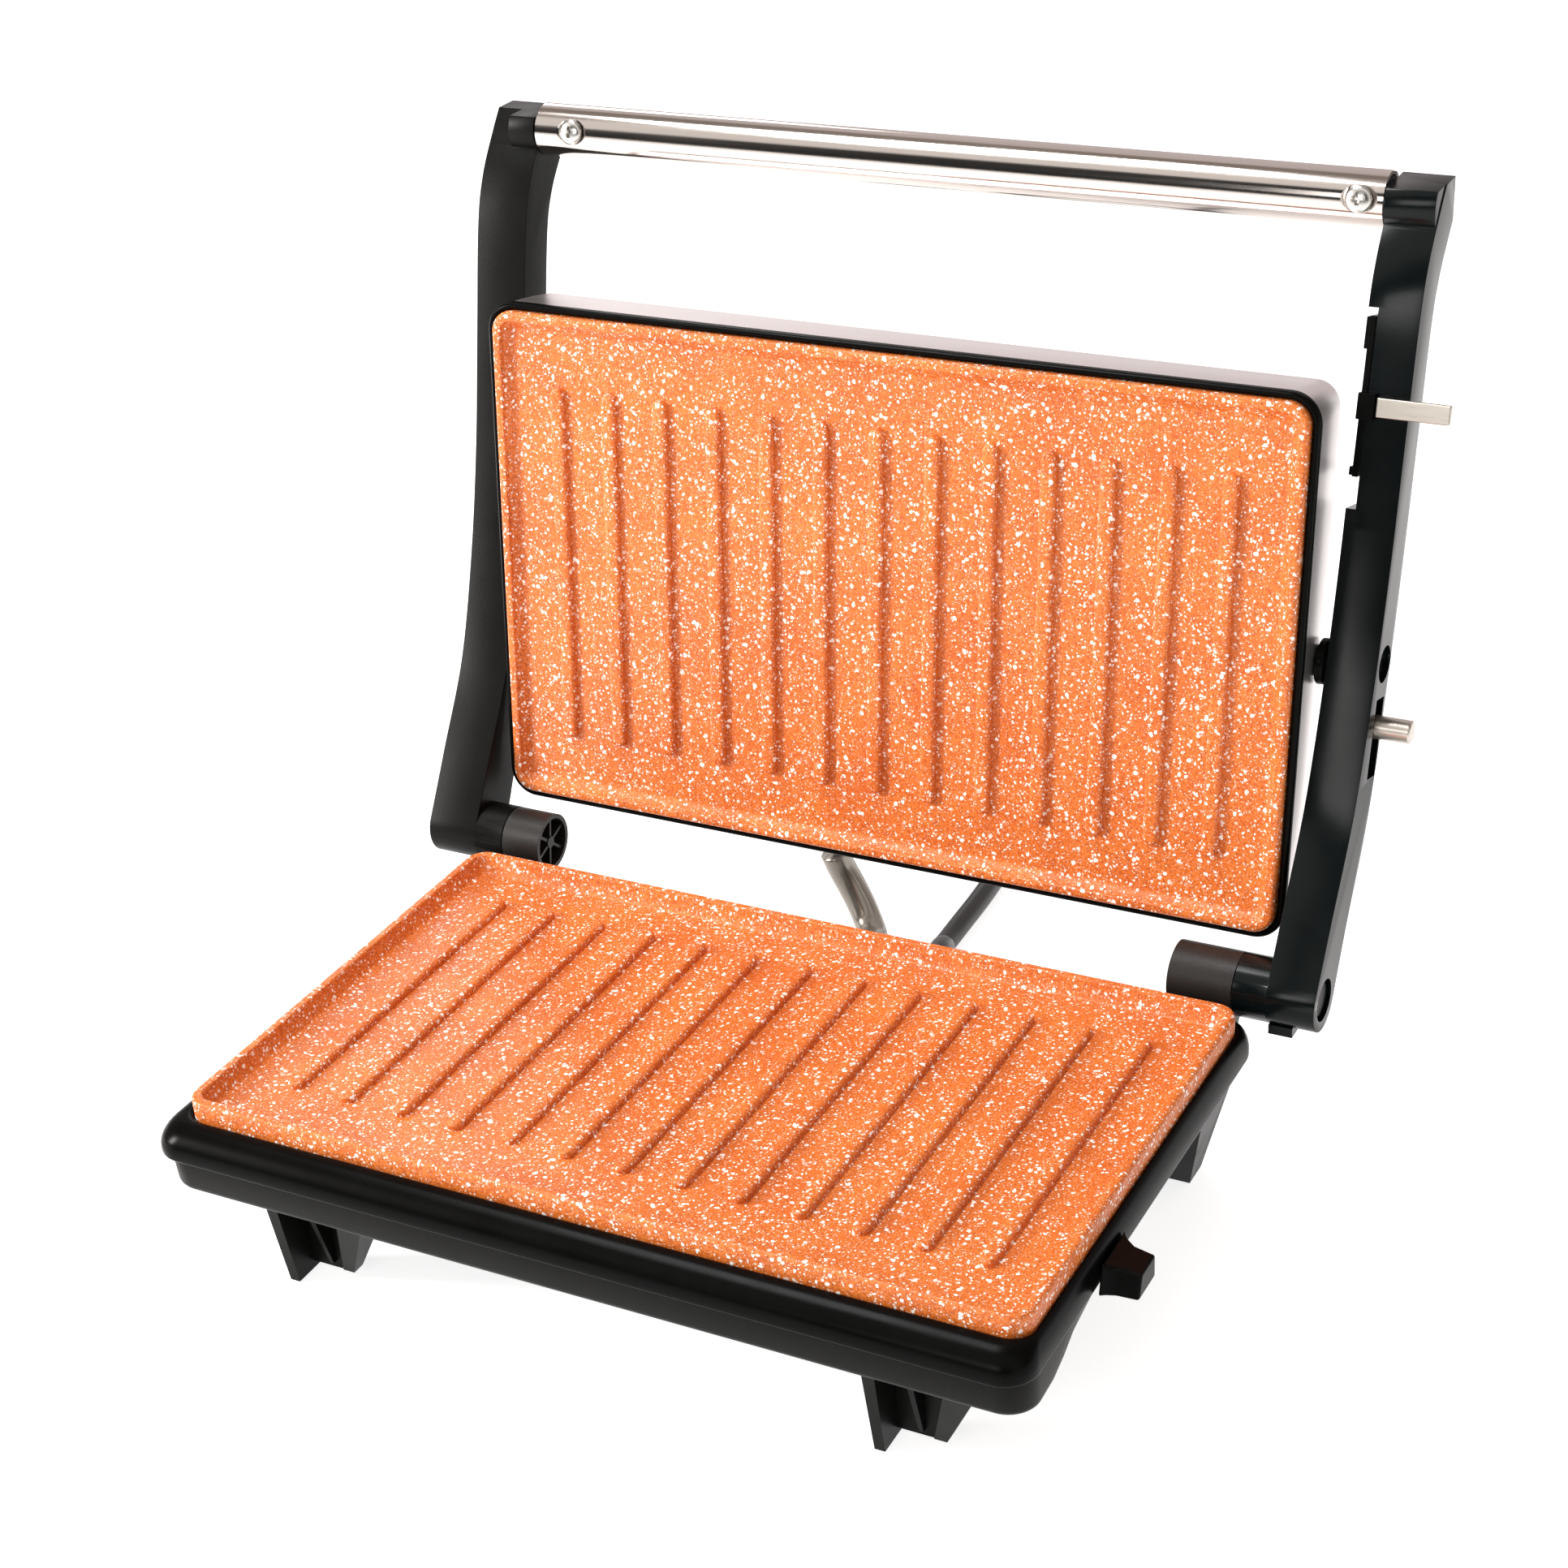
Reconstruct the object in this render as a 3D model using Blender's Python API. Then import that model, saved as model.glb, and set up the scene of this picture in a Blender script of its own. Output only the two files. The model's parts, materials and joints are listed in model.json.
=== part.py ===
"""Two-slice panini press, standing open.

A ribbed lower plate sits in a black base on four moulded feet. Two moulded arms, joined by a steel
tube handle, turn about hinges behind the base. They carry the upper plate and its steel cover on two
pivots, so that the cover can tilt. A latch slides along the right arm.

Sizes are in millimetres here, and the helpers turn them into Blender's metres. +X is to the right of a
person at the handle, +Y is to the back and +Z is up. Z is 0 on the table. X and Y are 0 at the middle
of the lower plate until the last step, which moves the whole press so that the middle of its box is
at the origin.
"""

import math

import bpy
import bmesh
from mathutils import Matrix, Vector

MM = 0.001

# Driving dimensions.
PLATE_WIDTH = 230.0
PLATE_DEPTH = 139.0
PLATE_CORNER = 6.0
GAP = 0.3                      # clearance between pieces that touch on the real press

RIM_Z = 53.0                   # top of the lower plate's rim
LOWER_PLATE_Y = -1.0           # middle of the lower plate
LOWER_PLATE_DEEP = 8.0         # rim to underside
UPPER_PLATE_DEEP = 6.0
RIB_PITCH = 16.0
RIB_COUNT = 13
RIB_WIDTH = 4.4
RIB_LENGTH = 101.0

FRAME_TOP_Z = RIM_Z - 5.2      # the lower plate stands this far out of the base
PARTING_Z = 39.0               # joint between the base frame and the tray
TRAY_BOTTOM_Z = 29.0
TRAY_WALL = 2.2
TRAY_TUCK = 7.0                # how far the tray's sides run in behind its front corners
LEFT_LEDGE, RIGHT_LEDGE, FRONT_LEDGE, REAR_LEDGE = 6.4, 2.6, 8.0, 4.4

HINGE = (82.0, 51.0)           # y, z of the lid's axis
HUB_RADIUS = 8.5
LID_LEAN = 6.5                 # degrees that the open upper plate leans back

PIVOT = (117.0, 128.2)         # y, z of the axis that the cover tilts about, with the lid open
PIVOT_ABOVE_RIM = 18.7         # height of that axis over the upper plate's rim when the lid is shut

KNUCKLE_END = 110.0            # where the base's hinge knuckles meet the arms' hubs
ARM_INNER = 119.2              # each arm's inner face, from the middle
ARM_OUTER = {-1: 134.8, 1: 132.2}   # outer face of the left arm and of the right one
ARM_HALF = 5.8
ARM_TOP_Z, ARM_REAR_Y = 240.4, 158.6   # where the arms are cut off square behind the handle
SOCKET_RADIUS = 7.4            # of the round of each arm that the handle butts against
SOCKET_END = {-1: 127.5, 1: 132.2}
HANDLE = (150.5, 235.8)        # y, z of the tube's axis
HANDLE_RADIUS = 7.0
PIVOT_PIN_END = 129.8          # how far out the bore for the cover's pivot pin goes in each arm
ARM_DIMPLE_Y = 120.4           # middle of the round dimple outside each arm, level with the pivot

LATCH_PIN = (116.5, 112.5)     # y, z of the latch pin. What follows are distances along the arm from it
LATCH_SLOT = (-13.3, 7.4)      # ends of the pin's slot, which lets it slide from -6 to 1.6
STRIP_ENDS = (62.5, 101.3)
CHANNEL_ENDS = (54.6, 103.3)   # of the channel that the strip slides in
TAB_ENDS = (77.6, 82.4)
TAB_FORWARD = 7.8              # from the latch pin's line to the back of the tab

LAMP_Y = -54.0                 # of the cover's two lamps

CORD_RADIUS = 3.3
LINK_RADIUS = 4.1

# The arm's middle line from the hinge to the handle: y, z and half its depth there.
ARM_LINE = (
    (82.0, 51.0, HUB_RADIUS),
    (92.1, 68.1, 7.7),
    (106.8, 92.1, 7.2),
    (117.7, 121.9, 6.3),
    (126.1, 151.6, ARM_HALF),
    (133.1, 181.4, ARM_HALF),
    (139.7, 209.8, ARM_HALF),
    (144.5, 221.6, 6.0),
    (151.5, 231.0, 6.2),
    (158.0, 238.4, 6.4),
    (164.0, 245.0, 6.4),
)

# The mains cord's middle line from the strain relief to the coil.
CORD_ROUTE = (
    (18.2, 89.4, 33.5),
    (18.1, 92.4, 33.3),
    (17.0, 98.0, 31.9),
    (15.2, 103.0, 29.2),
    (12.4, 108.0, 25.3),
    (8.6, 114.0, 20.2),
    (5.0, 120.4, 15.1),
    (2.0, 126.4, 10.6),
    (-0.6, 132.4, 6.9),
    (-2.6, 139.0, 4.5),
    (-3.6, 147.0, 3.4),
    (-4.0, 158.0, 3.4),
    (-4.4, 170.0, 3.4),
    (-5.2, 182.0, 3.4),
    (-6.4, 194.0, 3.4),
    (-7.8, 205.0, 3.4),
    (-8.6, 215.2, 3.4),
)
COIL_MIDDLE = (-45.0, 245.0)
COIL_RADIUS = 36.0             # middle of the turns
COIL_HALF = 6.4                # half the bundle's width and height
TAIL_ROUTE = (
    (-71.8, 284.3, 10.5),
    (-76.0, 284.3, 11.4),
    (-82.0, 284.3, 12.9),
    (-88.0, 284.3, 14.0),
    (-93.0, 284.3, 14.5),
    (-98.0, 284.3, 14.6),
)
PLUG = (-98.5, 284.3, 14.6)    # where the cord enters the plug, which points to -X

# The lead from the base to the cover's rear wall, which bends as the lid turns.
LINK_ROUTE = (
    (-2.0, 80.6, 35.2),
    (-2.0, 83.6, 35.2),
    (-2.2, 89.4, 33.0),
    (-3.4, 96.0, 29.8),
    (-5.8, 101.6, 28.6),
    (-9.2, 105.6, 30.6),
    (-12.4, 107.6, 35.0),
    (-15.6, 108.2, 40.4),
    (-18.2, 107.8, 45.8),
    (-19.6, 107.0, 50.6),
)


# Helpers ------------------------------------------------------------------------------------------


def clear_scene():
    for old in list(bpy.data.objects):
        bpy.data.objects.remove(old)


def material(name, colour, roughness, metallic=0.0):
    made = bpy.data.materials.new(name)
    made.use_nodes = True
    shader = made.node_tree.nodes["Principled BSDF"]
    shader.inputs["Base Color"].default_value = (*colour, 1.0)
    shader.inputs["Roughness"].default_value = roughness
    shader.inputs["Metallic"].default_value = metallic
    made.diffuse_color = (*colour, 1.0)
    return made


def piece(name, bm, finish):
    """A named object from a bmesh drawn in millimetres."""
    bmesh.ops.scale(bm, vec=(MM, MM, MM), verts=bm.verts)
    bmesh.ops.recalc_face_normals(bm, faces=bm.faces)
    mesh = bpy.data.meshes.new(name)
    bm.to_mesh(mesh)
    bm.free()
    mesh.materials.append(finish)
    mesh.set_sharp_from_angle(angle=math.radians(35))
    made = bpy.data.objects.new(name, mesh)
    bpy.context.scene.collection.objects.link(made)
    return made


def boolean(target, tool, operation):
    """Cuts or joins tool to target, and removes tool."""
    change = target.modifiers.new(operation, "BOOLEAN")
    change.object = tool
    change.operation = operation
    change.solver = "EXACT"
    graph = bpy.context.evaluated_depsgraph_get()
    mesh = bpy.data.meshes.new_from_object(target.evaluated_get(graph))
    target.modifiers.remove(change)
    old = target.data
    target.data = mesh
    bpy.data.meshes.remove(old)
    bpy.data.objects.remove(tool)
    return target


def cut(target, *tools):
    for tool in tools:
        boolean(target, tool, "DIFFERENCE")
    return target


def join(target, *tools):
    for tool in tools:
        boolean(target, tool, "UNION")
    return target


def bevel(target, width, segments=2, angle=30.0):
    soften = target.modifiers.new("Bevel", "BEVEL")
    soften.width = width * MM
    soften.segments = segments
    soften.limit_method = "ANGLE"
    soften.angle_limit = math.radians(angle)
    soften.use_clamp_overlap = True
    return target


def loft(name, loops, finish, ring=False):
    """Skins loops of equal length. The first and last are capped, or with ring they meet."""
    bm = bmesh.new()
    rows = [[bm.verts.new(point) for point in loop] for loop in loops]
    pairs = list(zip(rows, rows[1:]))
    if ring:
        pairs.append((rows[-1], rows[0]))
    for low, high in pairs:
        for i in range(len(low)):
            j = (i + 1) % len(low)
            bm.faces.new((low[i], low[j], high[j], high[i]))
    if not ring:
        bm.faces.new(rows[0][::-1])
        bm.faces.new(rows[-1])
    return piece(name, bm, finish)


def box(name, low, high, finish):
    (x0, y0, z0), (x1, y1, z1) = low, high
    loops = [[(x0, y0, z), (x1, y0, z), (x1, y1, z), (x0, y1, z)] for z in (z0, z1)]
    return loft(name, loops, finish)


def slab(name, outline, x_low, x_high, finish):
    """An outline of y, z points, extruded along X."""
    return loft(name, [[(x, y, z) for y, z in outline] for x in (x_low, x_high)], finish)


def lathe(name, profile, start, direction, finish, sides=24):
    """Turns a profile of (distance along the axis, radius) about the axis."""
    place = Vector(direction).normalized().to_track_quat("Z", "X").to_matrix()
    loops = []
    for along, radius in profile:
        loop = []
        for k in range(sides):
            turn = 2 * math.pi * k / sides
            spot = Vector((radius * math.cos(turn), radius * math.sin(turn), along))
            loop.append(Vector(start) + place @ spot)
        loops.append(loop)
    return loft(name, loops, finish)


def rod(name, start, end, radius, finish, sides=24):
    length = (Vector(end) - Vector(start)).length
    direction = Vector(end) - Vector(start)
    return lathe(name, ((0, radius), (length, radius)), start, direction, finish, sides)


def smooth_line(points, steps):
    """A Catmull-Rom curve through points of any number of values, with steps points in each span."""
    ends = [[2 * a - b for a, b in zip(points[0], points[1])]]
    ends += [list(point) for point in points]
    ends += [[2 * a - b for a, b in zip(points[-1], points[-2])]]
    line = []
    for before, here, there, after in zip(ends, ends[1:], ends[2:], ends[3:]):
        for k in range(steps):
            t = k / steps
            line.append(
                [
                    0.5 * (2 * b + (c - a) * t + (2 * a - 5 * b + 4 * c - d) * t**2
                           + (3 * b - 3 * c + d - a) * t**3)
                    for a, b, c, d in zip(before, here, there, after)
                ]
            )
    return line + [list(points[-1])]


def wire(name, points, radius, finish, resolution=2):
    """A round rod along a line of points."""
    curve = bpy.data.curves.new(name, "CURVE")
    curve.dimensions = "3D"
    curve.bevel_depth = radius * MM
    curve.bevel_resolution = resolution
    curve.use_fill_caps = True
    spline = curve.splines.new("POLY")
    spline.points.add(len(points) - 1)
    for target, point in zip(spline.points, points):
        target.co = (*(value * MM for value in point), 1.0)
    curve.materials.append(finish)
    made = bpy.data.objects.new(name, curve)
    bpy.context.scene.collection.objects.link(made)
    return made


def ride(pieces, empty):
    """Parents pieces that are already in place to an empty."""
    for one in pieces:
        one.parent = empty
        one.matrix_parent_inverse = empty.matrix_world.inverted()


def joint_empty(name, y, z, parent=None):
    empty = bpy.data.objects.new(name, None)
    bpy.context.scene.collection.objects.link(empty)
    empty.location = (0, y * MM, z * MM)
    bpy.context.view_layer.update()
    if parent:
        ride([empty], parent)
        bpy.context.view_layer.update()
    return empty


def rounded_box_loop(left, right, front, back, z, radius, steps=4, side_steps=1):
    """A rectangle with round corners, counter-clockwise, with extra points along its left and right."""
    loop = []
    corners = ((right, front, -90), (right, back, 0), (left, back, 90), (left, front, 180))
    for x, y, start in corners:
        centre_x = x - math.copysign(radius, x - (left + right) / 2)
        centre_y = y - math.copysign(radius, y - (front + back) / 2)
        for k in range(steps + 1):
            turn = math.radians(start + 90 * k / steps)
            loop.append((centre_x + radius * math.cos(turn), centre_y + radius * math.sin(turn), z))
        if start in (-90, 90):
            run = (back - front - 2 * radius) * (1 if start == -90 else -1)
            loop += [(x, centre_y + run * k / side_steps, z) for k in range(1, side_steps)]
    return loop


# Pieces that the base and the lid both have -------------------------------------------------------


def plate_loop(grow, z, middle=0.0, ledges=(0.0, 0.0, 0.0, 0.0), steps=4, side_steps=1):
    """The plate's outline grown outwards, and by a ledge more at its left, right, front and back."""
    left, right, front, back = (grow + ledge for ledge in ledges)
    half_x, half_y = PLATE_WIDTH / 2, PLATE_DEPTH / 2
    radius = max(PLATE_CORNER + grow + 0.1 * sum(ledges), 2.0)
    return rounded_box_loop(
        -half_x - left, half_x + right, middle - half_y - front, middle + half_y + back, z, radius,
        steps, side_steps
    )


def cooking_plate(name, middle, rim, deep, lip, recess, rib_middle, finish, upwards):
    """A cast plate: a raised rim round a flat floor with ribs. It faces up, or down for the lid.

    Below lip, its side steps in, so that a frame can hold it.
    """
    way = 1 if upwards else -1

    def level(below):
        return rim - way * below

    loops = [
        plate_loop(-2.8, level(deep), middle),
        plate_loop(-2.8, level(lip), middle),
        plate_loop(0.0, level(lip - 0.2), middle),
        plate_loop(0.0, level(0.7), middle),
        plate_loop(-0.7, level(0.0), middle),
        plate_loop(-2.3, level(0.0), middle),
        plate_loop(-3.1, level(0.7), middle),
        plate_loop(-4.4, level(recess - 0.5), middle),
        plate_loop(-5.2, level(recess), middle),
    ]
    plate = loft(name, loops, finish)
    rib_height = 1.9
    half_length = RIB_LENGTH / 2
    for k in range(RIB_COUNT):
        x = (k - (RIB_COUNT - 1) / 2) * RIB_PITCH
        sections = []
        for shrink, height in ((0.0, -0.6), (0.0, 0.6 * rib_height), (0.9, rib_height)):
            half = RIB_WIDTH / 2 - shrink
            sections.append(
                rounded_box_loop(
                    x - half, x + half, rib_middle - half_length + shrink,
                    rib_middle + half_length - shrink, level(recess - height), half - 0.01, 3
                )
            )
        join(plate, loft("rib", sections, finish))
    return plate


def heating_element(name, middle_y, z, finish):
    """A sheathed rod bent in a U round the plate, with its two ends at the back."""
    wide, near, far, corner = 88.0, -44.0, 50.0, 18.0
    points = [(wide, middle_y + far, z)]
    for centre_x, start in ((wide - corner, 0), (-wide + corner, -90)):
        for k in range(7):
            turn = math.radians(start - 90 * k / 6)
            points.append(
                (centre_x + corner * math.cos(turn), middle_y + near + corner + corner * math.sin(turn), z)
            )
    points.append((-wide, middle_y + far, z))
    return wire(name, points, 3.2, finish, resolution=1)


def phillips_screw(name, head_top, direction, head_radius, head_depth, shank_radius, length, finish):
    """A pan-head screw whose head_top faces against direction."""
    profile = (
        (0.0, head_radius * 0.62),
        (0.25 * head_depth, head_radius * 0.92),
        (0.6 * head_depth, head_radius),
        (head_depth, head_radius),
        (head_depth, shank_radius),
        (length, shank_radius),
    )
    screw = lathe(name, profile, head_top, direction, finish, sides=16)
    place = Vector(direction).normalized().to_track_quat("Z", "X").to_matrix()
    for turn in (0, 90):
        slot = box("slot", (-0.55, -head_radius * 0.5, -1), (0.55, head_radius * 0.5, 0.45 * head_depth), finish)
        slot.data.transform(Matrix.Rotation(math.radians(turn), 4, "Z"))
        slot.data.transform(Matrix.Translation(Vector(head_top) * MM) @ place.to_4x4())
        cut(screw, slot)
    return screw


# Base ---------------------------------------------------------------------------------------------


def ledge_loop(out, z, inset=0.0, side_steps=1):
    """The base's outline: out runs from 0 at the plate to 1 at the widest line of the frame."""
    ledges = [out * ledge for ledge in (LEFT_LEDGE, RIGHT_LEDGE, FRONT_LEDGE, REAR_LEDGE)]
    return plate_loop(0.4 - inset, z, LOWER_PLATE_Y, ledges, 6, side_steps)


def base_frame(finish):
    """The glossy frame round the plate, with a flange under the plate and a boss at each corner."""
    under_plate = RIM_Z - LOWER_PLATE_DEEP - GAP
    section = [
        ledge_loop(0.0, under_plate, 18.0),
        ledge_loop(0.0, under_plate),
        ledge_loop(0.0, FRAME_TOP_Z - 0.3),
        ledge_loop(0.12, FRAME_TOP_Z),
        ledge_loop(0.38, FRAME_TOP_Z - 0.3),
        ledge_loop(0.66, FRAME_TOP_Z - 1.5),
        ledge_loop(0.88, FRAME_TOP_Z - 3.4),
        ledge_loop(1.0, FRAME_TOP_Z - 5.4),
        ledge_loop(0.96, PARTING_Z + 1.6),
        ledge_loop(0.8, PARTING_Z + GAP),
        ledge_loop(0.4, PARTING_Z + GAP),
        ledge_loop(0.4, under_plate - 2.2),
        ledge_loop(0.0, under_plate - 1.6, 18.0),
    ]
    frame = loft("base_frame", section, finish, ring=True)
    for x, y in screw_places():
        boss = rod("boss", (x, y, TRAY_BOTTOM_Z + TRAY_WALL + GAP), (x, y, under_plate - 1.0), 3.6, finish, 12)
        hole = rod("hole", (x, y, TRAY_BOTTOM_Z), (x, y, under_plate - 3.0), 1.6, finish, 12)
        cut(join(frame, boss), hole)
    return frame


def screw_places():
    return [(x, LOWER_PLATE_Y + y) for x in (-101.0, 101.0) for y in (-44.0, 36.0)]


def wall_piece(low, high, low_z, high_z, finish):
    """A tapered block: low and high are (x0, x1, y0, y1) at its bottom and its top."""
    loops = []
    for (x0, x1, y0, y1), z in ((low, low_z), (high, high_z)):
        loops.append([(x0, y0, z), (x1, y0, z), (x1, y1, z), (x0, y1, z)])
    return loft("wall", loops, finish)


def front_foot(x, finish):
    """A hollow moulded foot that is open to the front: a fin, a back wall, a thin rib and a gusset."""
    back, top = -56.5, TRAY_BOTTOM_Z + 1.0

    def placed(x0, x1, y0, y1):
        return x + x0, x + x1, back - y1, back - y0

    fin = wall_piece(placed(-14.6, -11.8, 0, 10.2), placed(-15, -11.6, -1, 15), 0, top, finish)
    wall = wall_piece(placed(-14, 1.0, 0, 3.2), placed(-14, 14.0, -1, 3.2), 2.0, top, finish)
    rib = wall_piece(placed(-5.6, -4.4, 2, 4.5), placed(-6.0, -4.2, 1, 12), 4.0, top, finish)
    gusset = wall_piece(placed(-2.0, 1.4, 0.2, 4), placed(6.5, 15.0, -1, 14), 2.4, top, finish)
    return fin, wall, rib, gusset


def rear_foot(side, finish):
    """A tapered foot that runs up the corner of the tray as far as the frame."""
    low = sorted((side * 92.0, side * 104.6)) + [61.0, 69.6]
    high = sorted((side * 82.0, side * 114.6)) + [44.0, 71.0]
    return wall_piece(low, high, 0, PARTING_Z - 1.0, finish)


def tray_loop(out, z, inset=0.0):
    """The tray's outline. Its sides run in towards the back, the more so the lower they are."""
    share = TRAY_TUCK * (PARTING_Z - z) / (PARTING_Z - TRAY_BOTTOM_Z)
    loop = []
    for x, y, z in ledge_loop(out, z, inset, side_steps=6):
        along = min(max((y + 66.0) / 50.0, 0.0), 1.0)
        loop.append((x - math.copysign(share * along, x), y, z))
    return loop


def base_tray(finish):
    """The satin lower shell with its moulded feet, screw holes and the two lead openings."""
    outside = [
        tray_loop(0.3, TRAY_BOTTOM_Z),
        tray_loop(0.6, TRAY_BOTTOM_Z + 0.6),
        tray_loop(0.7, TRAY_BOTTOM_Z + 2.2),
        tray_loop(0.74, PARTING_Z),
    ]
    floor = TRAY_BOTTOM_Z + TRAY_WALL
    inside = [
        tray_loop(0.0, floor, 1.8),
        tray_loop(0.0, floor + 1.0, 0.8),
        tray_loop(0.3, PARTING_Z - 1.0, 0.4),
        tray_loop(0.3, PARTING_Z + 1.0, 0.4),
    ]
    tray = loft("base_tray", outside, finish)
    for x in (-79.0, 88.5):
        join(tray, *front_foot(x, finish))
    for side in (-1, 1):
        join(tray, rear_foot(side, finish))
    cut(tray, loft("cavity", inside, finish))
    for x, y in screw_places():
        cut(tray, rod("hole", (x, y, TRAY_BOTTOM_Z - 1), (x, y, PARTING_Z), 1.9, finish, 12))
    rear = LOWER_PLATE_Y + PLATE_DEPTH / 2
    for x, half in ((CORD_ROUTE[0][0], 4.4), (LINK_ROUTE[0][0], 4.8)):
        low = (x - half, rear - 4, TRAY_BOTTOM_Z + 0.2)
        cut(tray, box("opening", low, (x + half, rear + 8, PARTING_Z + 1), finish))
    return tray


def lid_catch(finish):
    """The moulded block on the right of the base that the latch holds. Its root is flared."""
    root_x = PLATE_WIDTH / 2 + 0.4 + RIGHT_LEDGE + GAP
    loops = []
    for x, front, back, low, high in (
        (root_x, -35.4, -20.2, 37.0, 44.9),
        (root_x + 1.6, -34.8, -22.6, 37.5, 44.6),
        (root_x + 4.0, -34.4, -24.6, 37.8, 44.4),
        (root_x + 8.8, -34.3, -25.6, 38.0, 44.2),
        (root_x + 9.6, -33.6, -26.3, 38.8, 43.5),
    ):
        loops.append([(x, front - 2.0, low), (x, back, low), (x, back, high), (x, front, high)])
    return loft("lid_catch", loops, finish)


def bevel_now(target, width):
    """A bevel that is applied, for a piece that is cut afterwards."""
    bevel(target, width)
    graph = bpy.context.evaluated_depsgraph_get()
    mesh = bpy.data.meshes.new_from_object(target.evaluated_get(graph))
    target.modifiers.clear()
    target.data = mesh
    return target


def hinge_knuckle(name, side, inner_end, finish):
    """A hollow barrel behind the base, open at its inner end with six spokes, on a foot of its own."""
    y, z = HINGE
    outer_end, radius, wall = KNUCKLE_END, HUB_RADIUS - 0.1, 1.3

    def at(x):
        return side * x, y, z

    barrel = rod(name, at(inner_end), at(outer_end), radius, finish, 32)
    deep = inner_end + 6.0
    cut(barrel, rod("hollow", at(inner_end - 1), at(deep), radius - wall, finish, 24))
    low, high = sorted((side * (inner_end + 0.8), side * (deep + 1)))
    for turn in (20, 80, 140):
        spoke = box("spoke", (low, 0.6 - radius, -0.5), (high, radius - 0.6, 0.5), finish)
        spoke.data.transform(Matrix.Rotation(math.radians(turn), 4, "X"))
        spoke.data.transform(Matrix.Translation((0, y * MM, z * MM)))
        join(barrel, spoke)
    low, high = sorted((side * (deep - 0.5), side * (outer_end - 0.5)))
    rear = LOWER_PLATE_Y + PLATE_DEPTH / 2 + 0.4 + REAR_LEDGE + GAP
    foot = [(rear, 32.0), (rear + 3.0, 32.0), (y + 6.8, z - 4.0), (y, z + 2.0), (rear, z - 3.0)]
    join(barrel, slab("foot", foot, low, high, finish))
    return cut(barrel, rod("bore", at(inner_end + 9), at(outer_end + 1), 3.0, finish, 16))


def base_inside(steel, sheet, ceramic, brown):
    """What lies between the tray and the lower plate."""
    under_plate = RIM_Z - LOWER_PLATE_DEEP
    element_z = under_plate - 3.2 - GAP
    rear = LOWER_PLATE_Y + PLATE_DEPTH / 2
    tray_floor = TRAY_BOTTOM_Z + TRAY_WALL
    box("lower_reflector", (-96, -56, 35.4), (96, 50, 36.2), sheet)
    heating_element("lower_heating_element", LOWER_PLATE_Y, element_z, steel)
    bevel(box("thermostat", (18, -12, 36.6), (46, 6, under_plate - GAP), ceramic), 0.8)
    rod("thermal_fuse", (-40, -4, under_plate - 2.8), (-26, -4, under_plate - 2.8), 2.4, steel, 12)
    low = (25, rear - 16.0, tray_floor + GAP)
    bevel(box("terminal_block", low, (51, rear - 6.0, under_plate - 4.2), brown), 0.6)


def base_leads(rubber):
    """The strain relief and the gland in the base's rear wall."""
    x, y, z = CORD_ROUTE[0]
    wall = LOWER_PLATE_Y + PLATE_DEPTH / 2 - 4.0
    length = y - wall - GAP
    profile = (
        (0.0, 3.9), (3.0, 3.9), (3.0, 3.4), (8.8, 3.4), (8.8, 4.1), (10.6, 4.1), (length, 3.6),
    )
    lathe("strain_relief", profile, (x, wall, z), (0, 1, 0), rubber, 16)
    x, y, z = LINK_ROUTE[0]
    length = y - wall - 2 * GAP
    profile = ((0.0, 4.0), (length - 4.0, 4.0), (length - 4.0, 4.8), (length, 4.6))
    lathe("base_gland", profile, (x, wall, z), (0, 1, 0), rubber, 16)


def base_screws(finish):
    for number, (x, y) in enumerate(screw_places(), 1):
        top = TRAY_BOTTOM_Z - GAP - 2.2
        phillips_screw(f"base_screw_{number}", (x, y, top), (0, 0, 1), 3.4, 2.2, 1.4, 11.0, finish)


# Lid ----------------------------------------------------------------------------------------------


def arm_outline():
    """Both edges of the arm, offset from its middle line, with a round end at the hinge."""
    line = smooth_line(ARM_LINE, 4)
    front, back = [], []
    for k, (y, z, half) in enumerate(line):
        before = line[max(k - 1, 0)]
        after = line[min(k + 1, len(line) - 1)]
        along = Vector((after[0] - before[0], after[1] - before[1])).normalized()
        front.append((y - along.y * half, z + along.x * half))
        back.append((y + along.y * half, z - along.x * half))
    start = math.atan2(front[0][1] - HINGE[1], front[0][0] - HINGE[0])
    hub = [
        (HINGE[0] + HUB_RADIUS * math.cos(start + math.pi * k / 10),
         HINGE[1] + HUB_RADIUS * math.sin(start + math.pi * k / 10))
        for k in range(1, 10)
    ]
    return front[::-1] + hub + back


def along_arm(distance):
    """A point on the straight middle of the arm, measured from the latch pin towards the handle."""
    return Vector(LATCH_PIN) + distance * ARM_DIRECTION


ARM_DIRECTION = Vector((0.247, 0.969)).normalized()
ARM_FORWARD = Vector((-ARM_DIRECTION.y, ARM_DIRECTION.x))   # square to it, to the front


def arm_block(name, low, high, forward_low, forward_high, x_low, x_high, finish):
    """A block that lies along the arm, given by distances from the latch pin and from the middle."""
    corners = [
        along_arm(a) + f * ARM_FORWARD
        for a, f in ((low, forward_low), (low, forward_high), (high, forward_high), (high, forward_low))
    ]
    return slab(name, [tuple(corner) for corner in corners], x_low, x_high, finish)


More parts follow.
